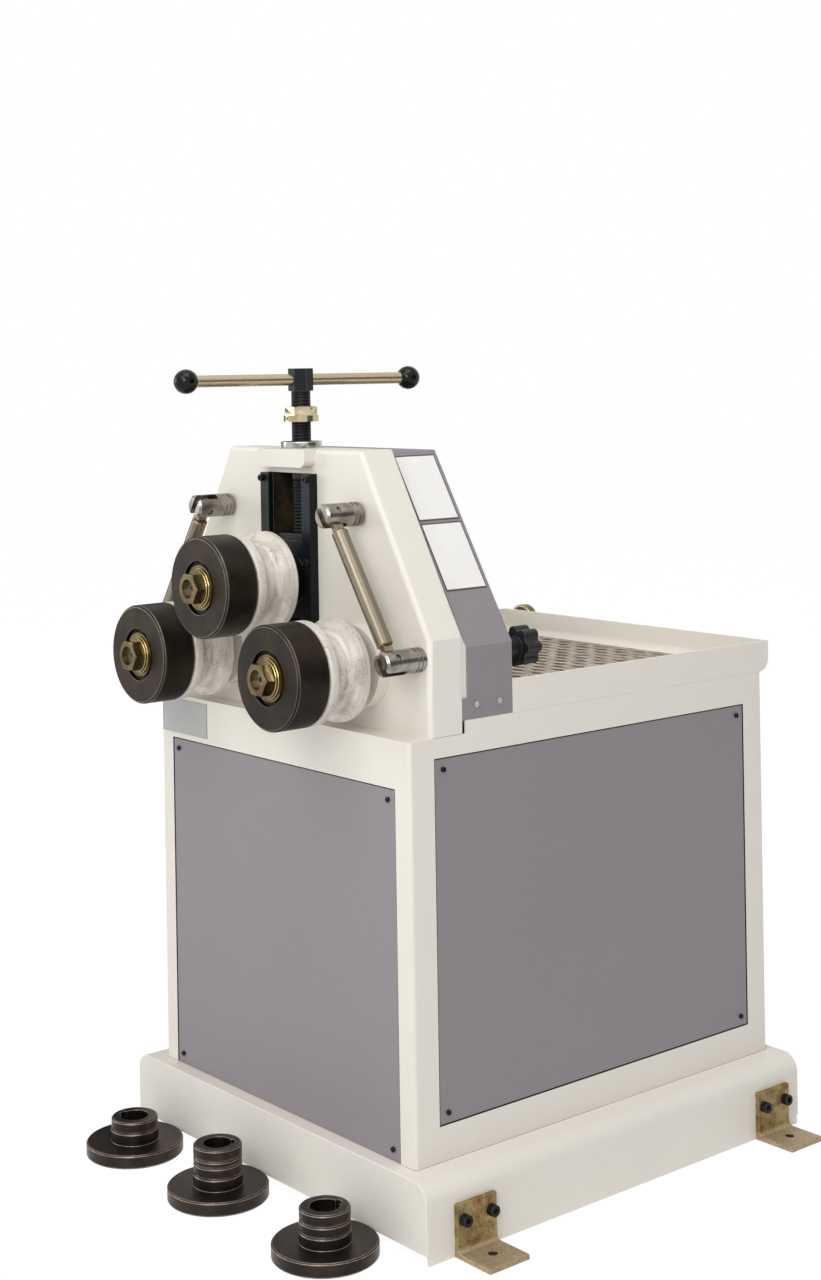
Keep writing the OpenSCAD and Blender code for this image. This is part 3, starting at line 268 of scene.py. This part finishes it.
def powder_coat(name, colour, lit, grain, speckle=0.22, window=None, gaps=None):
    """Powder coat with a faint orange peel, specks, a cloudy tone, and paler edges: partly worn paint, partly
    a painted highlight.
    """
    f = Finish(name)
    cloud = f.noise(2.5, 4.0)
    specks = f.noise(grain, 2.0)
    peel = f.noise(280.0, 2.0)
    tone = f.mix(cloud.span(0.35, 0.7) * 0.35, colour, shaded(colour, 0.93))
    tone = f.mix(specks.span(0.40, 0.70) * speckle, tone, shaded(colour, 0.84))
    # Painted highlight: rounded edges are mixed towards the lit colour, also standing for worn paint
    edge = f.wear() * f.noise(60.0, 3.0).span(0.3, 0.7, 0.4, 1.0)
    tone = f.mix(edge * 0.7, tone, lit)
    if window:
        tone = window_bare_and_shaded(f, tone, window)
    if gaps:
        tone = painted_gap_shade(f, tone, gaps)
    rough = 0.40 + f.noise(14.0, 3.0) * 0.12 + specks * 0.06
    height = peel * 0.6 + specks * 0.4
    return f.coat(base_color=tone, roughness=rough, normal=f.bump(height, 0.00006, 0.5))


def about_axis(f, centre, axis):
    """Radius from a turning axis, place along it, and the two parts of the direction outwards."""
    x, y, z = f.parts(f.place_from(centre))
    if axis == "Y":
        y, z = z, y
    radius = (x * x + y * y).root()
    return radius, z, x / radius, y / radius


def turned_black(name, centre, axis, colour, warm, bright, satin):
    """Blackened turned steel: fine turning marks, warm smudges, and edges painted brighter: rubbed steel and
    a painted highlight.
    """
    f = Finish(name)
    radius, along, _, _ = about_axis(f, centre, axis)
    marks = f.noise(1100.0, 2.0, vector=f.joined(radius, along, 0.0))
    smudge = f.noise(20.0, 5.0, 0.6)
    chips = f.noise(90.0, 4.0, 0.6)
    tone = f.mix(smudge.span(0.36, 0.70), colour, warm)
    tone = f.mix(marks.span(0.50, 0.85) * 0.35, tone, shaded(warm, 1.8))
    # Painted highlight: rounded edges are mixed towards the bright colour, partly rubbed steel
    worn_and_lit = f.wear() * chips.span(0.25, 0.70, 0.40, 0.90)
    tone = f.mix(worn_and_lit, tone, bright)
    rough = satin + marks * 0.14 + smudge * 0.10 - worn_and_lit * 0.06
    return f.coat(gloss=0.3, base_color=tone, roughness=rough, metallic=0.85,
                  normal=f.bump(marks, 0.00003, 0.5))


# Radii in a tube roll's groove, in metres: where its marks begin, and where they are at their strongest
GROOVE_RIM = 0.0755
GROOVE_DEEP = 0.070


def scuffed_white(name, centre):
    """Pale turned roll: clean rims, and a groove darkened towards its bottom by dirt and painted shade, with
    streaks round it that are stains and painted reflection bands, and dark specks.
    """
    f = Finish(name)
    radius, along, out_a, out_b = about_axis(f, centre, "Y")
    marks = f.noise(900.0, 2.0, vector=f.joined(radius, along, 0.0))
    # Painted reflection: a few broad bands round the axis, laid in the groove together with its stains
    round_it = f.joined(out_a * 1.6, out_b * 1.6, along * 150.0)
    streaks = f.noise(1.0, 3.0, 0.5, round_it)
    specks = f.noise(340.0, 4.0, 0.7)
    cloud = f.noise(24.0, 4.0, 0.6)
    # The groove darkens towards its bottom: dirt, and painted shade in the hollow
    deep = radius.span(GROOVE_RIM, GROOVE_DEEP)
    dirt_and_painted_light = deep * (0.16 + streaks.span(0.35, 0.70) * 0.40 + cloud.span(0.45, 0.75) * 0.25)
    tone = f.mix(dirt_and_painted_light, srgb(226, 222, 214), srgb(150, 137, 118))
    tone = f.mix(deep * specks.span(0.54, 0.66) * cloud.span(0.42, 0.60) * 0.8, tone, srgb(66, 60, 54))
    tone = f.mix(cloud.span(0.55, 0.8) * 0.15, tone, srgb(190, 182, 170))
    rough = 0.42 + dirt_and_painted_light * 0.2 + marks * 0.1
    return f.coat(gloss=0.4, base_color=tone, roughness=rough, metallic=0.12,
                  normal=f.bump(marks + dirt_and_painted_light * 0.5, 0.00008, 0.6))


def plated(name, light, dark, rough, grain=90.0, shift=None, edge=0.6, oily=None):
    """Plated steel with a mottled tint and edges painted brighter, as wear and a painted highlight; below the
    height oily it is dark with oil.
    """
    f = Finish(name)
    mottle = f.noise(grain, 2.5, 0.55)
    fine = f.noise(grain * 9, 2.0)
    tone = f.mix(mottle.span(0.32, 0.70), light, dark)
    if shift:
        tone = f.mix(f.noise(grain * 0.6, 3.0).span(0.5, 0.75) * 0.5, tone, shift)
    # Painted highlight: rounded edges are mixed towards a brighter copy of the plating, partly rubbed metal
    rubbed_and_lit = f.wear() * fine.span(0.2, 0.6, 0.5, 1.0) * edge
    tone = f.mix(rubbed_and_lit, tone, shaded(light, 2.2))
    if oily:
        height = f.parts(f.place())[2]
        tone = f.mix(height.span(oily, oily - 0.002), tone, srgb(58, 52, 42))
    uneven = rough + mottle * 0.14
    return f.coat(base_color=tone, roughness=uneven, metallic=0.92, normal=f.bump(mottle, 0.00005, 0.3))


# Floor bolts, in metres: their places either side of the middle, and the radii of a hole's rim and wall,
# inside which painted shade darkens the hole
BOLT_X = 0.386
BOLT_Y = 0.300
HOLE_RIM = 0.0074
HOLE_WALL = 0.0064


def stained_zinc(name):
    """Yellow zinc on rolled angle: brown stains, dark specks, a paler, greyer foot that is painted light, a
    bolt hole drawn dark as painted shade, and rubbed pale edges.
    """
    f = Finish(name)
    x, y, z = f.parts(f.place())
    stain = f.noise(46.0, 6.0, 0.66)
    patch = f.noise(19.0, 4.0, 0.6)
    specks = f.noise(330.0, 4.0, 0.65)
    tone = f.ramp(stain, (0.32, srgb(182, 166, 116)), (0.50, srgb(158, 138, 92)), (0.66, srgb(122, 98, 62)))
    tone = f.mix(patch.span(0.48, 0.62) * stain.span(0.35, 0.6) * 0.9, tone, srgb(132, 92, 56))
    # Painted light: paler and greyer towards the bottom, where the foot faces up
    foot = z.span(0.012, 0.0085)
    tone = f.mix(foot * 0.75, tone, srgb(178, 160, 132))
    tone = f.mix(specks.span(0.53, 0.68) * 0.75, tone, srgb(72, 56, 40))
    off_x = x.size() - BOLT_X
    off_y = y.size() - BOLT_Y
    # Painted shade: the bolt hole's wall and rim are drawn dark
    hole_shade = (off_x * off_x + off_y * off_y).root().span(HOLE_RIM, HOLE_WALL)
    tone = f.mix(hole_shade, tone, srgb(54, 42, 28))
    tone = f.mix(f.wear() * specks.span(0.35, 0.6, 0.3, 0.8), tone, srgb(204, 188, 146))
    rough = 0.44 + stain * 0.22
    return f.coat(gloss=0.35, base_color=tone, roughness=rough, metallic=0.55,
                  normal=f.bump(specks + stain, 0.0002, 0.6))


def drawn_steel(name, light, dark, edge, turn):
    """Ground or drawn bar: fine streaks along its length, which turn lays on the Z axis."""
    f = Finish(name)
    streaks = f.noise(420.0, 2.0, 0.5, f.stretched((1.0, 1.0, 0.012), turn))
    bands = f.noise(110.0, 2.0, 0.5, f.stretched((1.0, 1.0, 0.02), turn))
    haze = f.noise(14.0, 3.0, 0.5)
    tone = f.mix(streaks.span(0.3, 0.7) * 0.25 + bands.span(0.35, 0.7) * 0.3, light, dark)
    tone = f.mix(haze.span(0.5, 0.8) * 0.12, tone, dark)
    tone = f.mix(f.wear() * 0.6, tone, edge)
    uneven = 0.22 + streaks * 0.06 + haze * 0.04
    return f.coat(base_color=tone, roughness=uneven, metallic=0.9, normal=f.bump(bands, 0.00002, 0.3))


def oiled_black(name, colour, sheen):
    """Black oxide with an oily, uneven gloss and grey rubbed edges."""
    f = Finish(name)
    oil = f.noise(46.0, 5.0, 0.6)
    grain = f.noise(700.0, 2.0)
    tone = f.mix(oil.span(0.45, 0.75) * 0.5, colour, shaded(colour, 1.8))
    rub = f.wear() * f.noise(90.0, 3.0).span(0.35, 0.65)
    tone = f.mix(rub * 0.45, tone, srgb(110, 110, 108))
    rough = sheen + oil * 0.2 + grain * 0.06
    return f.coat(gloss=0.25, base_color=tone, roughness=rough, metallic=0.4,
                  normal=f.bump(grain, 0.00003, 0.5))


def moulded(name, colour, rough, grain, gloss):
    """Moulded plastic with a fine grain and greyed edges."""
    f = Finish(name)
    skin = f.noise(grain, 3.0)
    cloud = f.noise(30.0, 3.0)
    tone = f.mix(cloud.span(0.4, 0.7) * 0.5, colour, [c * 1.7 + 0.004 for c in colour[:3]] + [1.0])
    tone = f.mix(f.wear() * 0.25, tone, srgb(92, 92, 94))
    uneven = rough + skin * 0.10
    return f.coat(gloss=gloss, base_color=tone, roughness=uneven, normal=f.bump(skin, 0.00004, 0.4))


def threaded(name, centre, top, pitch, colour):
    """Oiled black thread along Z and up to a height: a helix of ridges, grey on their crests."""
    f = Finish(name)
    x, y, z = f.parts(f.place_from(centre))
    angle = x.maths("ARCTAN2", y, x)
    ridge = (z * (2 * math.pi / pitch) - angle).wave() * z.span(top, top - 0.002)
    oil = f.noise(60.0, 4.0, 0.6)
    tone = f.mix(ridge.span(0.2, 1.0) * (0.15 + oil * 0.3), colour, srgb(58, 60, 64))
    tone = f.mix(f.wear() * 0.4, tone, srgb(96, 100, 104))
    rough = 0.30 + oil * 0.18
    return f.coat(gloss=0.25, base_color=tone, roughness=rough, metallic=0.4,
                  normal=f.bump(ridge, 0.0008, 0.8))


def sign_plate(name, colour, border, edge):
    """Blank printed plate: pale field inside a thin dark border, by the piece's own UV map."""
    f = Finish(name)
    across, along, _ = f.parts(f.node("ShaderNodeUVMap", {"uv_map": "plate"}))
    line = across.size().larger(along.size()).span(1.0 - edge, 1.0 - edge * 0.7)
    dust = f.noise(40.0, 4.0).span(0.45, 0.8) * 0.18
    tone = f.mix(dust, colour, shaded(colour, 0.8))
    tone = f.mix(line, tone, border)
    rough = 0.34 + f.noise(120.0, 2.0) * 0.12
    return f.coat(base_color=tone, roughness=rough, normal=f.bump(f.noise(260.0, 2.0), 0.00003, 0.3))


def middle(node):
    low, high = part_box(node)
    return (low + high) / 2


CREAM = srgb(229, 224, 214)
# PALE is the lit colour of the cream paint's edges: a painted highlight, partly worn paint
PALE = srgb(241, 239, 232)
GREY = srgb(139, 132, 137)
CREAM_COAT = (CREAM, PALE, 520.0)
ARM_LEAN = math.radians(33.3)


def laid_up(direction):
    """Turn that lays a direction on the Z axis."""
    return direction.rotation_difference(Vector((0.0, 0.0, 1.0))).to_euler("XYZ")


bar_points = [v.co for v in frame["nodes"]["handle_bar"].data.vertices]
bar_line = max(bar_points, key=lambda p: p.x) - min(bar_points, key=lambda p: p.x)

FINISHES = {
    "cream_paint": powder_coat("cream_paint", *CREAM_COAT),
    "grey_paint": powder_coat("grey_paint", GREY, srgb(168, 161, 166), 420.0, 0.5),
    "zinc_bracket": stained_zinc("zinc_bracket"),
    "black_screws": oiled_black("black_screws", srgb(26, 27, 29), 0.36),
    "bright_screws": plated("bright_screws", srgb(208, 208, 206), srgb(150, 150, 150), 0.2, 300.0),
    "black_plastic": moulded("black_plastic", srgb(20, 20, 22), 0.42, 900.0, 0.3),
    "black_gloss": moulded("black_gloss", srgb(8, 8, 9), 0.06, 400.0, 0.22),
    "mesh_steel": plated("mesh_steel", srgb(186, 174, 158), srgb(140, 128, 112), 0.42, 60.0),
    "yellow_zinc": plated("yellow_zinc", srgb(126, 112, 76), srgb(84, 70, 44), 0.2, 26.0,
                          srgb(118, 92, 66), 1.0),
    "dark_steel": oiled_black("dark_steel", srgb(20, 22, 25), 0.28),
    "bronze": plated("bronze", srgb(176, 138, 84), srgb(130, 96, 52), 0.3, 80.0),
    "machined_steel": plated("machined_steel", srgb(168, 164, 158), srgb(112, 108, 102), 0.26, 110.0),
    "drive_paint": powder_coat("drive_paint", srgb(108, 122, 132), srgb(140, 152, 160), 500.0),
    "champagne_zinc": drawn_steel("champagne_zinc", srgb(190, 177, 148), srgb(164, 148, 116),
                                  srgb(210, 197, 166), laid_up(bar_line)),
    "arm_steel": plated("arm_steel", srgb(160, 156, 149), srgb(122, 117, 110), 0.2, 60.0, None, 0.8),
}


# Pieces

# Angles between faces: smooth below, rounded above, one flat face below
SMOOTH_BELOW = math.radians(42)
HARD_ABOVE = math.radians(28)
FLAT_BELOW = math.radians(0.3)
# Distances in metres: points this close are one, and points this close to a plane lie in it
MERGED = 2e-6
IN_PLANE = 0.05 * MM


def shown(name, shape, body, finish):
    """Makes a bmesh a piece that rides on a body."""
    mesh = bpy.data.meshes.new(name)
    shape.to_mesh(mesh)
    shape.free()
    mesh.shade_smooth()
    mesh.set_sharp_from_angle(angle=SMOOTH_BELOW)
    piece = bpy.data.objects.new(name, mesh)
    bpy.context.scene.collection.objects.link(piece)
    mesh.materials.append(finish.material)
    evened = piece.modifiers.new("even_normals", "WEIGHTED_NORMAL")
    evened.keep_sharp = True
    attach(piece, body)
    return piece


def in_plane(edge, places):
    """True where both ends of an edge lie in one of the planes across Y."""
    return any(all(abs(v.co.y - y) < IN_PLANE for v in edge.verts) for y in places)


def round_edges(shape, width, segments, joints):
    """Rounds every hard edge outside the joint planes, marks the new faces for wear and painted highlight,
    and drops flat ones.
    """
    wear = shape.loops.layers.float.new("wear")
    hard = [e for e in shape.edges if e.is_manifold and e.calc_face_angle(0.0) > HARD_ABOVE]
    hard = [e for e in hard if not in_plane(e, joints)]
    rounded = bmesh.ops.bevel(shape, geom=hard, offset=width, offset_type="OFFSET", affect="EDGES",
                              segments=segments, profile=0.5, material=-1, clamp_overlap=True)
    for face in rounded["faces"]:
        for loop in face.loops:
            loop[wear] = 1.0
    bmesh.ops.dissolve_degenerate(shape, dist=MERGED, edges=shape.edges)


def separate(shape):
    """Lists of the vertices of each loose part of a mesh."""
    left = set(shape.verts)
    found = []
    while left:
        part = [left.pop()]
        for vert in part:
            for edge in vert.link_edges:
                other = edge.other_vert(vert)
                if other in left:
                    left.remove(other)
                    part.append(other)
        found.append(part)
    return found


def slim_screws(shape, share):
    """Slims each screw across its own axis: X or Y, whichever of its box's lengths is unlike its height."""
    for part in separate(shape):
        low = Vector([min(v.co[k] for v in part) for k in range(3)])
        high = Vector([max(v.co[k] for v in part) for k in range(3)])
        size = high - low
        along = 0 if abs(size.x - size.z) > abs(size.y - size.z) else 1
        scale = [share, share, share]
        scale[along] = 1.0
        about = Matrix.Translation(-(low + high) / 2)
        bmesh.ops.scale(shape, vec=scale, space=about, verts=part)


def softened(node, finish, width, segments=2, joints=(), slim=1.0):
    """A copy of a CAD node with rounded edges, which stands for the node."""
    shape = bmesh.new()
    shape.from_mesh(frame["nodes"][node].data)
    bmesh.ops.remove_doubles(shape, verts=shape.verts, dist=MERGED)
    bmesh.ops.dissolve_limit(shape, angle_limit=FLAT_BELOW, verts=shape.verts, edges=shape.edges)
    if slim < 1.0:
        slim_screws(shape, slim)
    round_edges(shape, width, segments, joints)
    piece = shown("shown_" + node, shape, BODY_OF[node], finish)
    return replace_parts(piece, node)


# Width of the rounded edges, in mm
EDGES = {
    "floor_brackets": 0.9, "bracket_screws": 0.6,
    "front_panel": 0.5, "right_panel": 0.5, "left_panel": 0.5, "rear_panel": 0.5,
    "cable_gland": 0.7, "tray": 0.6, "roll_post": 1.0, "gear_housing": 0.8,
    "gear_cover": 0.8, "slide_gibs": 0.8, "gib_screws": 0.5, "gib_bridge": 0.8,
    "slide_block": 1.0, "slide_keeper": 0.8, "handle_bar": 0.8,
    "ball_knobs": 0.5,
    "top_shaft": 0.8, "right_shaft": 0.8, "left_shaft": 0.8,
    "top_nut": 1.3, "right_nut": 1.3, "left_nut": 1.3,
    "right_arm_stud": 0.8, "left_arm_stud": 0.8, "right_arm_tip": 0.8, "left_arm_tip": 0.8,
    "right_star_knob": 1.5, "left_star_knob": 1.5,
}

for node, width in EDGES.items():
    softened(node, FINISHES[SLOT_OF[node]], width * MM)

# The plinth's end plates are welded flush, so the joints stay unrounded
plinth_joints = [corner.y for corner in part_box("base_plinth")]
for node in ("base_plinth", "plinth_ends"):
    softened(node, FINISHES[SLOT_OF[node]], 0.8 * MM, joints=plinth_joints)

# Spindle and its nut: height below which the nut is oily, thread's pitch, length of the plain head
OIL_LINE = 1.055
THREAD_PITCH = 5.0 * MM
PLAIN_HEAD = 34.0 * MM
chrome = plated("chrome_sleeve", srgb(204, 200, 194), srgb(112, 108, 104), 0.1, 46.0, oily=OIL_LINE)
softened("spindle_nut", chrome, 1.0 * MM)
spindle_low, spindle_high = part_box("spindle")
thread_top = (spindle_high.z - spindle_low.z) / 2 - PLAIN_HEAD
thread = threaded("spindle_black", middle("spindle"), thread_top, THREAD_PITCH, srgb(15, 17, 21))
softened("spindle", thread, 0.8 * MM)

# Window's half width, front and top, then the casing's foot and half width; height where the panels' gaps end
CASING_WINDOW = (0.048, -0.323, 1.021, 0.673, 0.3025)
GAP_TOP = 0.655
casing_cream = powder_coat("casing_cream", *CREAM_COAT, window=CASING_WINDOW)
softened("head_casing", casing_cream, 1.2 * MM)
frame_low, frame_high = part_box("cabinet_frame")
panel_gaps = (frame_high.x, frame_low.y, frame_high.y, GAP_TOP, frame_low.z)
frame_cream = powder_coat("frame_cream", *CREAM_COAT, gaps=panel_gaps)
softened("cabinet_frame", frame_cream, 0.7 * MM)
for node, share in (("panel_screws", 0.7), ("cover_screws", 0.8)):
    softened(node, FINISHES[SLOT_OF[node]], 0.4 * MM, slim=share)
pale_zinc = plated("pale_zinc", srgb(204, 190, 158), srgb(160, 146, 112), 0.14, 30.0, None, 0.9)
softened("stop_nut", pale_zinc, 0.8 * MM)

# Rolls, each with marks about its own axis
for side in ("top", "right", "left"):
    centre = middle(side + "_ring")
    black = turned_black(f"roll_black_{side}", centre, "Y", srgb(36, 34, 31), srgb(56, 47, 36),
                         srgb(112, 106, 99), 0.33)
    softened(side + "_ring", black, 0.9 * MM, 3)
    softened(side + "_tube_roll", scuffed_white(f"roll_white_{side}", centre), 0.8 * MM)

for number in (1, 2, 3):
    node = f"spare_roll_{number}"
    burnished = turned_black(f"burnished_{number}", middle(node), "Z", srgb(44, 40, 38), srgb(64, 53, 45),
                             srgb(170, 158, 145), 0.25)
    softened(node, burnished, 1.2 * MM, 3)

for side, lean in (("right", ARM_LEAN), ("left", -ARM_LEAN)):
    rod = drawn_steel(f"rod_steel_{side}", srgb(146, 136, 118), srgb(92, 82, 66), srgb(170, 116, 86),
                      (0, lean, 0))
    softened(f"{side}_arm_rod", rod, 0.8 * MM)

# Raised step of each roll nut's washer, around the foot of its hexagon.
# Pairs of radius and place along the axis; the washer's front and the narrow faces' width; all in mm.
STEP_PROFILE = ((19.0, 0.3), (28.0, 0.3), (28.0, -2.2), (27.2, -3.0),
                (25.6, -3.0), (25.6, -4.6), (24.8, -5.4), (19.0, -5.4))
STEP_SIDES = 72
WASHER_FRONT = 6.0
NARROW = 1.3


def turned_ring(name, centre, profile, sides, body, finish):
    """Closed ring about Y from pairs of radius and place along the axis; its narrow faces are marked for wear
    and painted highlight.
    """
    shape = bmesh.new()
    wear = shape.loops.layers.float.new("wear")
    turns = [2 * math.pi * k / sides for k in range(sides)]
    rows = []
    for radius, along in profile:
        rows.append([shape.verts.new((centre.x + radius * MM * math.cos(t), centre.y + along * MM,
                                      centre.z + radius * MM * math.sin(t))) for t in turns])
    for row, after in zip(rows, rows[1:] + rows[:1]):
        width = (row[0].co - after[0].co).length
        for k in range(sides):
            face = shape.faces.new((row[k], row[k - 1], after[k - 1], after[k]))
            for loop in face.loops:
                loop[wear] = 1.0 if width < NARROW * MM else 0.0
    bmesh.ops.recalc_face_normals(shape, faces=shape.faces)
    return shown(name, shape, body, finish)


for side in ("top", "right", "left"):
    nut = side + "_nut"
    foot = middle(nut)
    foot.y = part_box(nut)[1].y - WASHER_FRONT * MM
    slot = SLOT_OF[nut]
    turned_ring(nut + "_step", foot, STEP_PROFILE, STEP_SIDES, BODY_OF[nut], FINISHES[slot])

# Blank plates on the cover's right slope and on the front rail


def blank_plate(name, place, across, along, thick, finish):
    """Thin plate about its middle, given half its width and half its length as vectors."""
    shape = bmesh.new()
    bmesh.ops.create_grid(shape, x_segments=1, y_segments=1, size=1.0)
    raised = bmesh.ops.extrude_face_region(shape, geom=list(shape.faces))
    top = [part for part in raised["geom"] if isinstance(part, bmesh.types.BMVert)]
    bmesh.ops.translate(shape, vec=(0.0, 0.0, 1.0), verts=top)
    bmesh.ops.recalc_face_normals(shape, faces=shape.faces)
    plate = shape.loops.layers.uv.new("plate")
    for face in shape.faces:
        for loop in face.loops:
            loop[plate].uv = loop.vert.co.xy
    out = across.cross(along).normalized() * thick
    turn = Matrix((across, along, out)).transposed().to_4x4()
    bmesh.ops.transform(shape, matrix=Matrix.Translation(place) @ turn, verts=shape.verts)
    return shown(name, shape, "stand", finish)


# Plates in metres: thickness, place of the slope's two plates and half their sizes, then the rail's plate
SIGN_THICK = 0.6 * MM
COVER_SIGN_Y = -0.216
COVER_SIGN_HEIGHTS = (1.0005, 0.907)
COVER_SIGN_HALF = (0.03675, 0.0525)
RAIL_SIGN_X = -0.2373
RAIL_SIGN_Z = 0.641
RAIL_SIGN_HALF = (0.0607, 0.026)

SLOPE_OUT = Vector((260.5, 0.0, 158.5)).normalized()
SLOPE_UP = Vector((-158.5, 0.0, 260.5)).normalized()
slope_reach = max(SLOPE_OUT.dot(v.co) for v in frame["nodes"]["gear_cover"].data.vertices)
white_sign = sign_plate("white_sign", srgb(236, 234, 230), srgb(70, 64, 70), 0.045)
for number, height in enumerate(COVER_SIGN_HEIGHTS, 1):
    place = Vector(((slope_reach - SLOPE_OUT.z * height) / SLOPE_OUT.x, COVER_SIGN_Y, height))
    blank_plate(f"cover_sign_{number}", place, Vector((0.0, COVER_SIGN_HALF[0], 0.0)),
                SLOPE_UP * COVER_SIGN_HALF[1], SIGN_THICK, white_sign)
silver_sign = sign_plate("silver_sign", srgb(176, 176, 174), srgb(150, 150, 150), 0.04)
place = Vector((RAIL_SIGN_X, frame_low.y, RAIL_SIGN_Z))
blank_plate("rail_sign", place, Vector((RAIL_SIGN_HALF[0], 0.0, 0.0)),
            Vector((0.0, 0.0, RAIL_SIGN_HALF[1])), SIGN_THICK, silver_sign)

# Nodes that keep their own mesh
for node, piece in frame["nodes"].items():
    if not piece.hide_render:
        piece.data.materials.clear()
        piece.data.materials.append(FINISHES[SLOT_OF[node]].material)


# Stage


WHITE = (1.0, 1.0, 1.0, 1.0)
LAMP_AIM = (0.0, 0.0, 0.6)
CARD_AIM = (0.0, 0.0, 0.8)


def plain_world():
    """White to the camera and to reflections, softer white as light."""
    world = bpy.data.worlds.new("studio")
    world.use_nodes = True
    bpy.context.scene.world = world
    g = Graph(world.node_tree)
    backdrop = world.node_tree.nodes["Background"]
    backdrop.inputs["Color"].default_value = WHITE
    g.feed(backdrop.inputs["Strength"], 0.42 + g.seen_rays() * 0.58)


def flat_sheet(name, half, finish):
    """Square sheet of the stage, given half its width."""
    shape = bmesh.new()
    bmesh.ops.create_grid(shape, x_segments=1, y_segments=1, size=half)
    mesh = bpy.data.meshes.new(name)
    shape.to_mesh(mesh)
    shape.free()
    mesh.materials.append(finish.material)
    sheet = bpy.data.objects.new(name, mesh)
    bpy.context.scene.collection.objects.link(sheet)
    return sheet


def aim(thing, place, target, axis):
    """Puts a lamp or a card at a place, with one of its axes towards a target."""
    thing.location = place
    thing.rotation_mode = "QUATERNION"
    thing.rotation_quaternion = (Vector(target) - Vector(place)).to_track_quat(axis, "Y")


def pale_floor():
    """White floor that keeps a soft shadow of the object."""
    f = Finish("floor_white")
    f.coat(base_color=(0.96, 0.96, 0.96, 1.0), roughness=0.9)
    glow = f.node("ShaderNodeEmission", None, {"Color": WHITE, "Strength": 1.06})
    shader = Number(f, f.shader.outputs["BSDF"])
    mixed = f.node("ShaderNodeMixShader", None, {0: f.seen_rays() * 0.9, 1: shader, 2: glow})
    f.feed(f.tree.nodes["Material Output"].inputs["Surface"], mixed)
    floor = flat_sheet("floor", 30.0, f)
    floor.location.z = cad_low.z - 0.0005


def soft_box(name, place, size, watts):
    lamp = bpy.data.lights.new(name, "AREA")
    lamp.size = size
    lamp.energy = watts
    box = bpy.data.objects.new(name, lamp)
    aim(box, place, LAMP_AIM, "-Z")
    bpy.context.scene.collection.objects.link(box)


def grey_card(name, place, size):
    """Large grey card beside the set, seen in polished metal only."""
    finish = Finish(name).coat(base_color=(0.05, 0.05, 0.05, 1.0), roughness=0.9)
    card = flat_sheet(name, size / 2, finish)
    aim(card, place, CARD_AIM, "Z")
    for ray in ("camera", "diffuse", "transmission", "volume_scatter", "shadow"):
        setattr(card, "visible_" + ray, False)


# Camera fitted to the photograph: focal length, image height and horizon row in pixels, place in metres
FOCAL_PX = 1999.754
IMAGE_H_PX = 1280
HORIZON_PX = 368.354
SENSOR_MM = 36.0
CAMERA_AT = (2.34978, -2.04293, 1.16985)
CAMERA_YAW = 0.879
CAMERA_ROLL = -0.016


def photo_camera():
    lens = bpy.data.cameras.new("photo_view")
    lens.sensor_width = SENSOR_MM
    lens.lens = SENSOR_MM * FOCAL_PX / IMAGE_H_PX
    lens.shift_y = (HORIZON_PX - IMAGE_H_PX / 2) / IMAGE_H_PX
    lens.clip_end = 200.0
    camera = bpy.data.objects.new("photo_view", lens)
    turn = Matrix.Rotation(CAMERA_YAW, 4, "Z") @ Matrix.Rotation(math.pi / 2, 4, "X")
    camera.matrix_world = Matrix.Translation(CAMERA_AT) @ turn @ Matrix.Rotation(CAMERA_ROLL, 4, "Z")
    bpy.context.scene.collection.objects.link(camera)
    bpy.context.scene.camera = camera


plain_world()
pale_floor()
soft_box("left_box", (-4.4, -3.4, 1.8), 2.0, 48.0)
soft_box("front_box", (3.1, -4.1, 2.6), 2.0, 76.0)
soft_box("high_box", (1.0, -3.4, 3.6), 2.0, 36.0)
soft_box("top_box", (1.1, -0.9, 4.4), 2.4, 60.0)
grey_card("left_card", (-5.2, 1.6, 1.0), 5.0)
grey_card("right_card", (5.4, 2.2, 1.0), 5.0)
photo_camera()
bpy.context.scene.view_settings.view_transform = "Standard"
